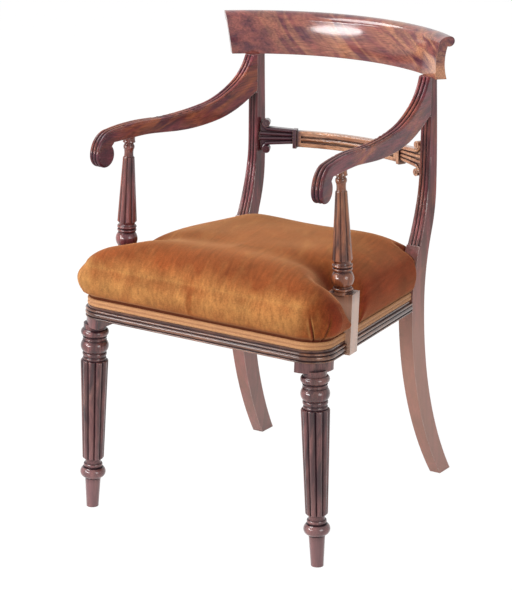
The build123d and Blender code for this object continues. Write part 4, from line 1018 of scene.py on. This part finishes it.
def all_straps():
    for index, across in enumerate(WEB_ACROSS):
        ends = (across, FRAME_INSIDE), (across, FRAME_BACK)
        yield strap(*ends, WEB_DEPTHS[0], PITCH_DEEP, index, WEB_LIFT)
    for index, depth in enumerate(WEB_DEPTHS):
        half_span = HALF_WIDTH - (depth + WEB_WIDTH / 2) * math.tan(SIDE_ANGLE) - FRAME_INSIDE
        ends = (-half_span, depth), (half_span, depth)
        yield strap(*ends, WEB_ACROSS[0], PITCH_ACROSS, index, -WEB_LIFT)


def webbing():
    points, faces = [], []
    for rows in all_straps():
        base = len(points)
        count, sides = rows.shape[:2]
        points.extend(grid_in_room(rows))
        faces += [tuple(base + i for i in face) for face in band_faces(count, sides, closed=True)]
        faces.append(tuple(base + i for i in reversed(range(sides))))
        faces.append(tuple(base + (count - 1) * sides + i for i in range(sides)))
    piece = mesh_piece("webbing_bands", points, faces, JUTE, smooth=False)
    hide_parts("seat_webbing")


webbing()
print("straps of webbing:", len(WEB_ACROSS) + len(WEB_DEPTHS))


# %% [markdown]
# The hessian is one stretched sheet, cut to the shape of the seat. It bulges a little
# between the bands, where the stuffing presses it down.

# %% Hessian
SHEET_ROWS, SHEET_COLUMNS = 70, 80
SHEET_LEVEL = WEB_LEVEL + WEB_LIFT + WEB_THICK / 2 + 0.0004
FIRST_GAP = (WEB_DEPTHS[0] + WEB_DEPTHS[1]) / 2
SAG = 0.0009


def sheet_reach(depth):
    """How far the sheet goes to each side; it passes the supports, posts and front blocks."""
    side = HALF_WIDTH - depth * math.tan(SIDE_ANGLE)
    reach = side - FRAME_INSIDE / math.cos(SIDE_ANGLE)
    if SUPPORT_RUN - 0.022 < depth < SUPPORT_RUN + 0.018:
        reach = min(reach, side - SUPPORT_INSET - 0.002)
    if depth < 0.055:
        reach -= 0.026 * (1 - math.sqrt(max(0, 1 - ((0.055 - depth) / 0.036) ** 2)))
    if depth > 0.412:
        reach = min(reach, POST_INNER - 0.001)
    return reach


def sheet_height(across, depth):
    turns = (across / PITCH_ACROSS * math.pi, (depth - FIRST_GAP) / PITCH_DEEP * math.pi)
    if any(abs(math.sin(turn)) >= 0.9 for turn in turns):
        return SHEET_LEVEL
    return SHEET_LEVEL - SAG * math.cos(turns[0]) ** 2 * math.cos(turns[1]) ** 2


def hessian_sheet():
    rows = []
    for depth in np.linspace(FRAME_INSIDE, FRAME_BACK, SHEET_ROWS):
        places = np.linspace(-1, 1, SHEET_COLUMNS) * sheet_reach(depth)
        rows.append([(across, depth, sheet_height(across, depth)) for across in places])
    faces = band_faces(SHEET_ROWS, SHEET_COLUMNS)
    piece = mesh_piece("hessian_sheet", grid_in_room(np.array(rows)), faces, HESSIAN)
    thicken = piece.modifiers.new("Thickness", "SOLIDIFY")
    thicken.thickness = 0.0006
    thicken.offset = 1
    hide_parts("seat_hessian")
    return piece


sheet = hessian_sheet()
print("points in the hessian:", len(sheet.data.vertices))


# %% [markdown]
# The studio is plain: a white floor, a broad soft lamp low on the left that puts the
# highlight on the crest rail, three more lamps and an even white surround. The floor shows
# white to the camera and in polished wood, and still takes a faint shadow.

# %% Floor, lamps and surround
FLOOR_HALF = 15


def seen_white(tree):
    """One for what the camera sees straight, in a reflection or through glass."""
    path = put(tree, "ShaderNodeLightPath")
    shown = sum_up(tree, "MAXIMUM", path.outputs["Is Camera Ray"], path.outputs["Is Glossy Ray"])
    return sum_up(tree, "MAXIMUM", shown, path.outputs["Is Transmission Ray"])


def studio_floor():
    material = bpy.data.materials.new("Floor paper")
    material.use_nodes = True
    tree = material.node_tree
    tree.nodes.clear()
    paper = put(tree, "ShaderNodeBsdfDiffuse", {"Color": (0.88, 0.88, 0.88, 1)})
    white = put(tree, "ShaderNodeEmission", {"Color": (1, 1, 1, 1), "Strength": 1.06})
    share = sum_up(tree, "MULTIPLY", seen_white(tree), 0.92)
    both = put(tree, "ShaderNodeMixShader", {0: share, 1: paper.outputs[0], 2: white.outputs[0]})
    put(tree, "ShaderNodeOutputMaterial", {"Surface": both.outputs[0]})
    mesh = bpy.data.meshes.new("studio_floor")
    signs = ((-1, -1), (1, -1), (1, 1), (-1, 1))
    corners = [(x * FLOOR_HALF, y * FLOOR_HALF, 0) for x, y in signs]
    mesh.from_pydata(corners, [], [(0, 1, 2, 3)])
    mesh.materials.append(material)
    floor = bpy.data.objects.new("studio_floor", mesh)
    bpy.context.scene.collection.objects.link(floor)


def soft_lamp(name, place, target, size, watts):
    lamp = bpy.data.objects.new(name, bpy.data.lights.new(name, "AREA"))
    bpy.context.scene.collection.objects.link(lamp)
    lamp.data.shape = "ELLIPSE"
    lamp.data.size, lamp.data.size_y = size
    lamp.data.energy = watts
    lamp.location = place
    lamp.rotation_euler = (Vector(target) - Vector(place)).to_track_quat("-Z", "Y").to_euler()


def white_surround():
    world = bpy.data.worlds.new("White surround")
    world.use_nodes = True
    bpy.context.scene.world = world
    tree = world.node_tree
    tree.nodes.clear()
    strength = sum_up(tree, "MAXIMUM", seen_white(tree), 0.36)
    light = put(tree, "ShaderNodeBackground", {"Color": (1, 1, 1, 1), "Strength": strength})
    put(tree, "ShaderNodeOutputWorld", {"Surface": light.outputs[0]})


studio_floor()
white_surround()
soft_lamp("Low softbox", (-0.77, -2.0, 0.82), (0, 0.2, 0.8), (1.4, 0.36), 25)
soft_lamp("Middle softbox", (-1.5, -1.76, 1.45), (-0.1, 0.1, 0.5), (0.9, 0.5), 14)
soft_lamp("High softbox", (-1.2, -0.5, 2.45), (0, 0, 0.45), (2.0, 1.0), 52)
soft_lamp("Right softbox", (3.3, -1.3, 1.5), (0, 0, 0.55), (1.8, 1.8), 42)
bpy.context.scene.view_settings.view_transform = "Standard"
lamps = [o.name for o in bpy.context.scene.objects if o.type == "LIGHT"]
print("lamps:", ", ".join(lamps))
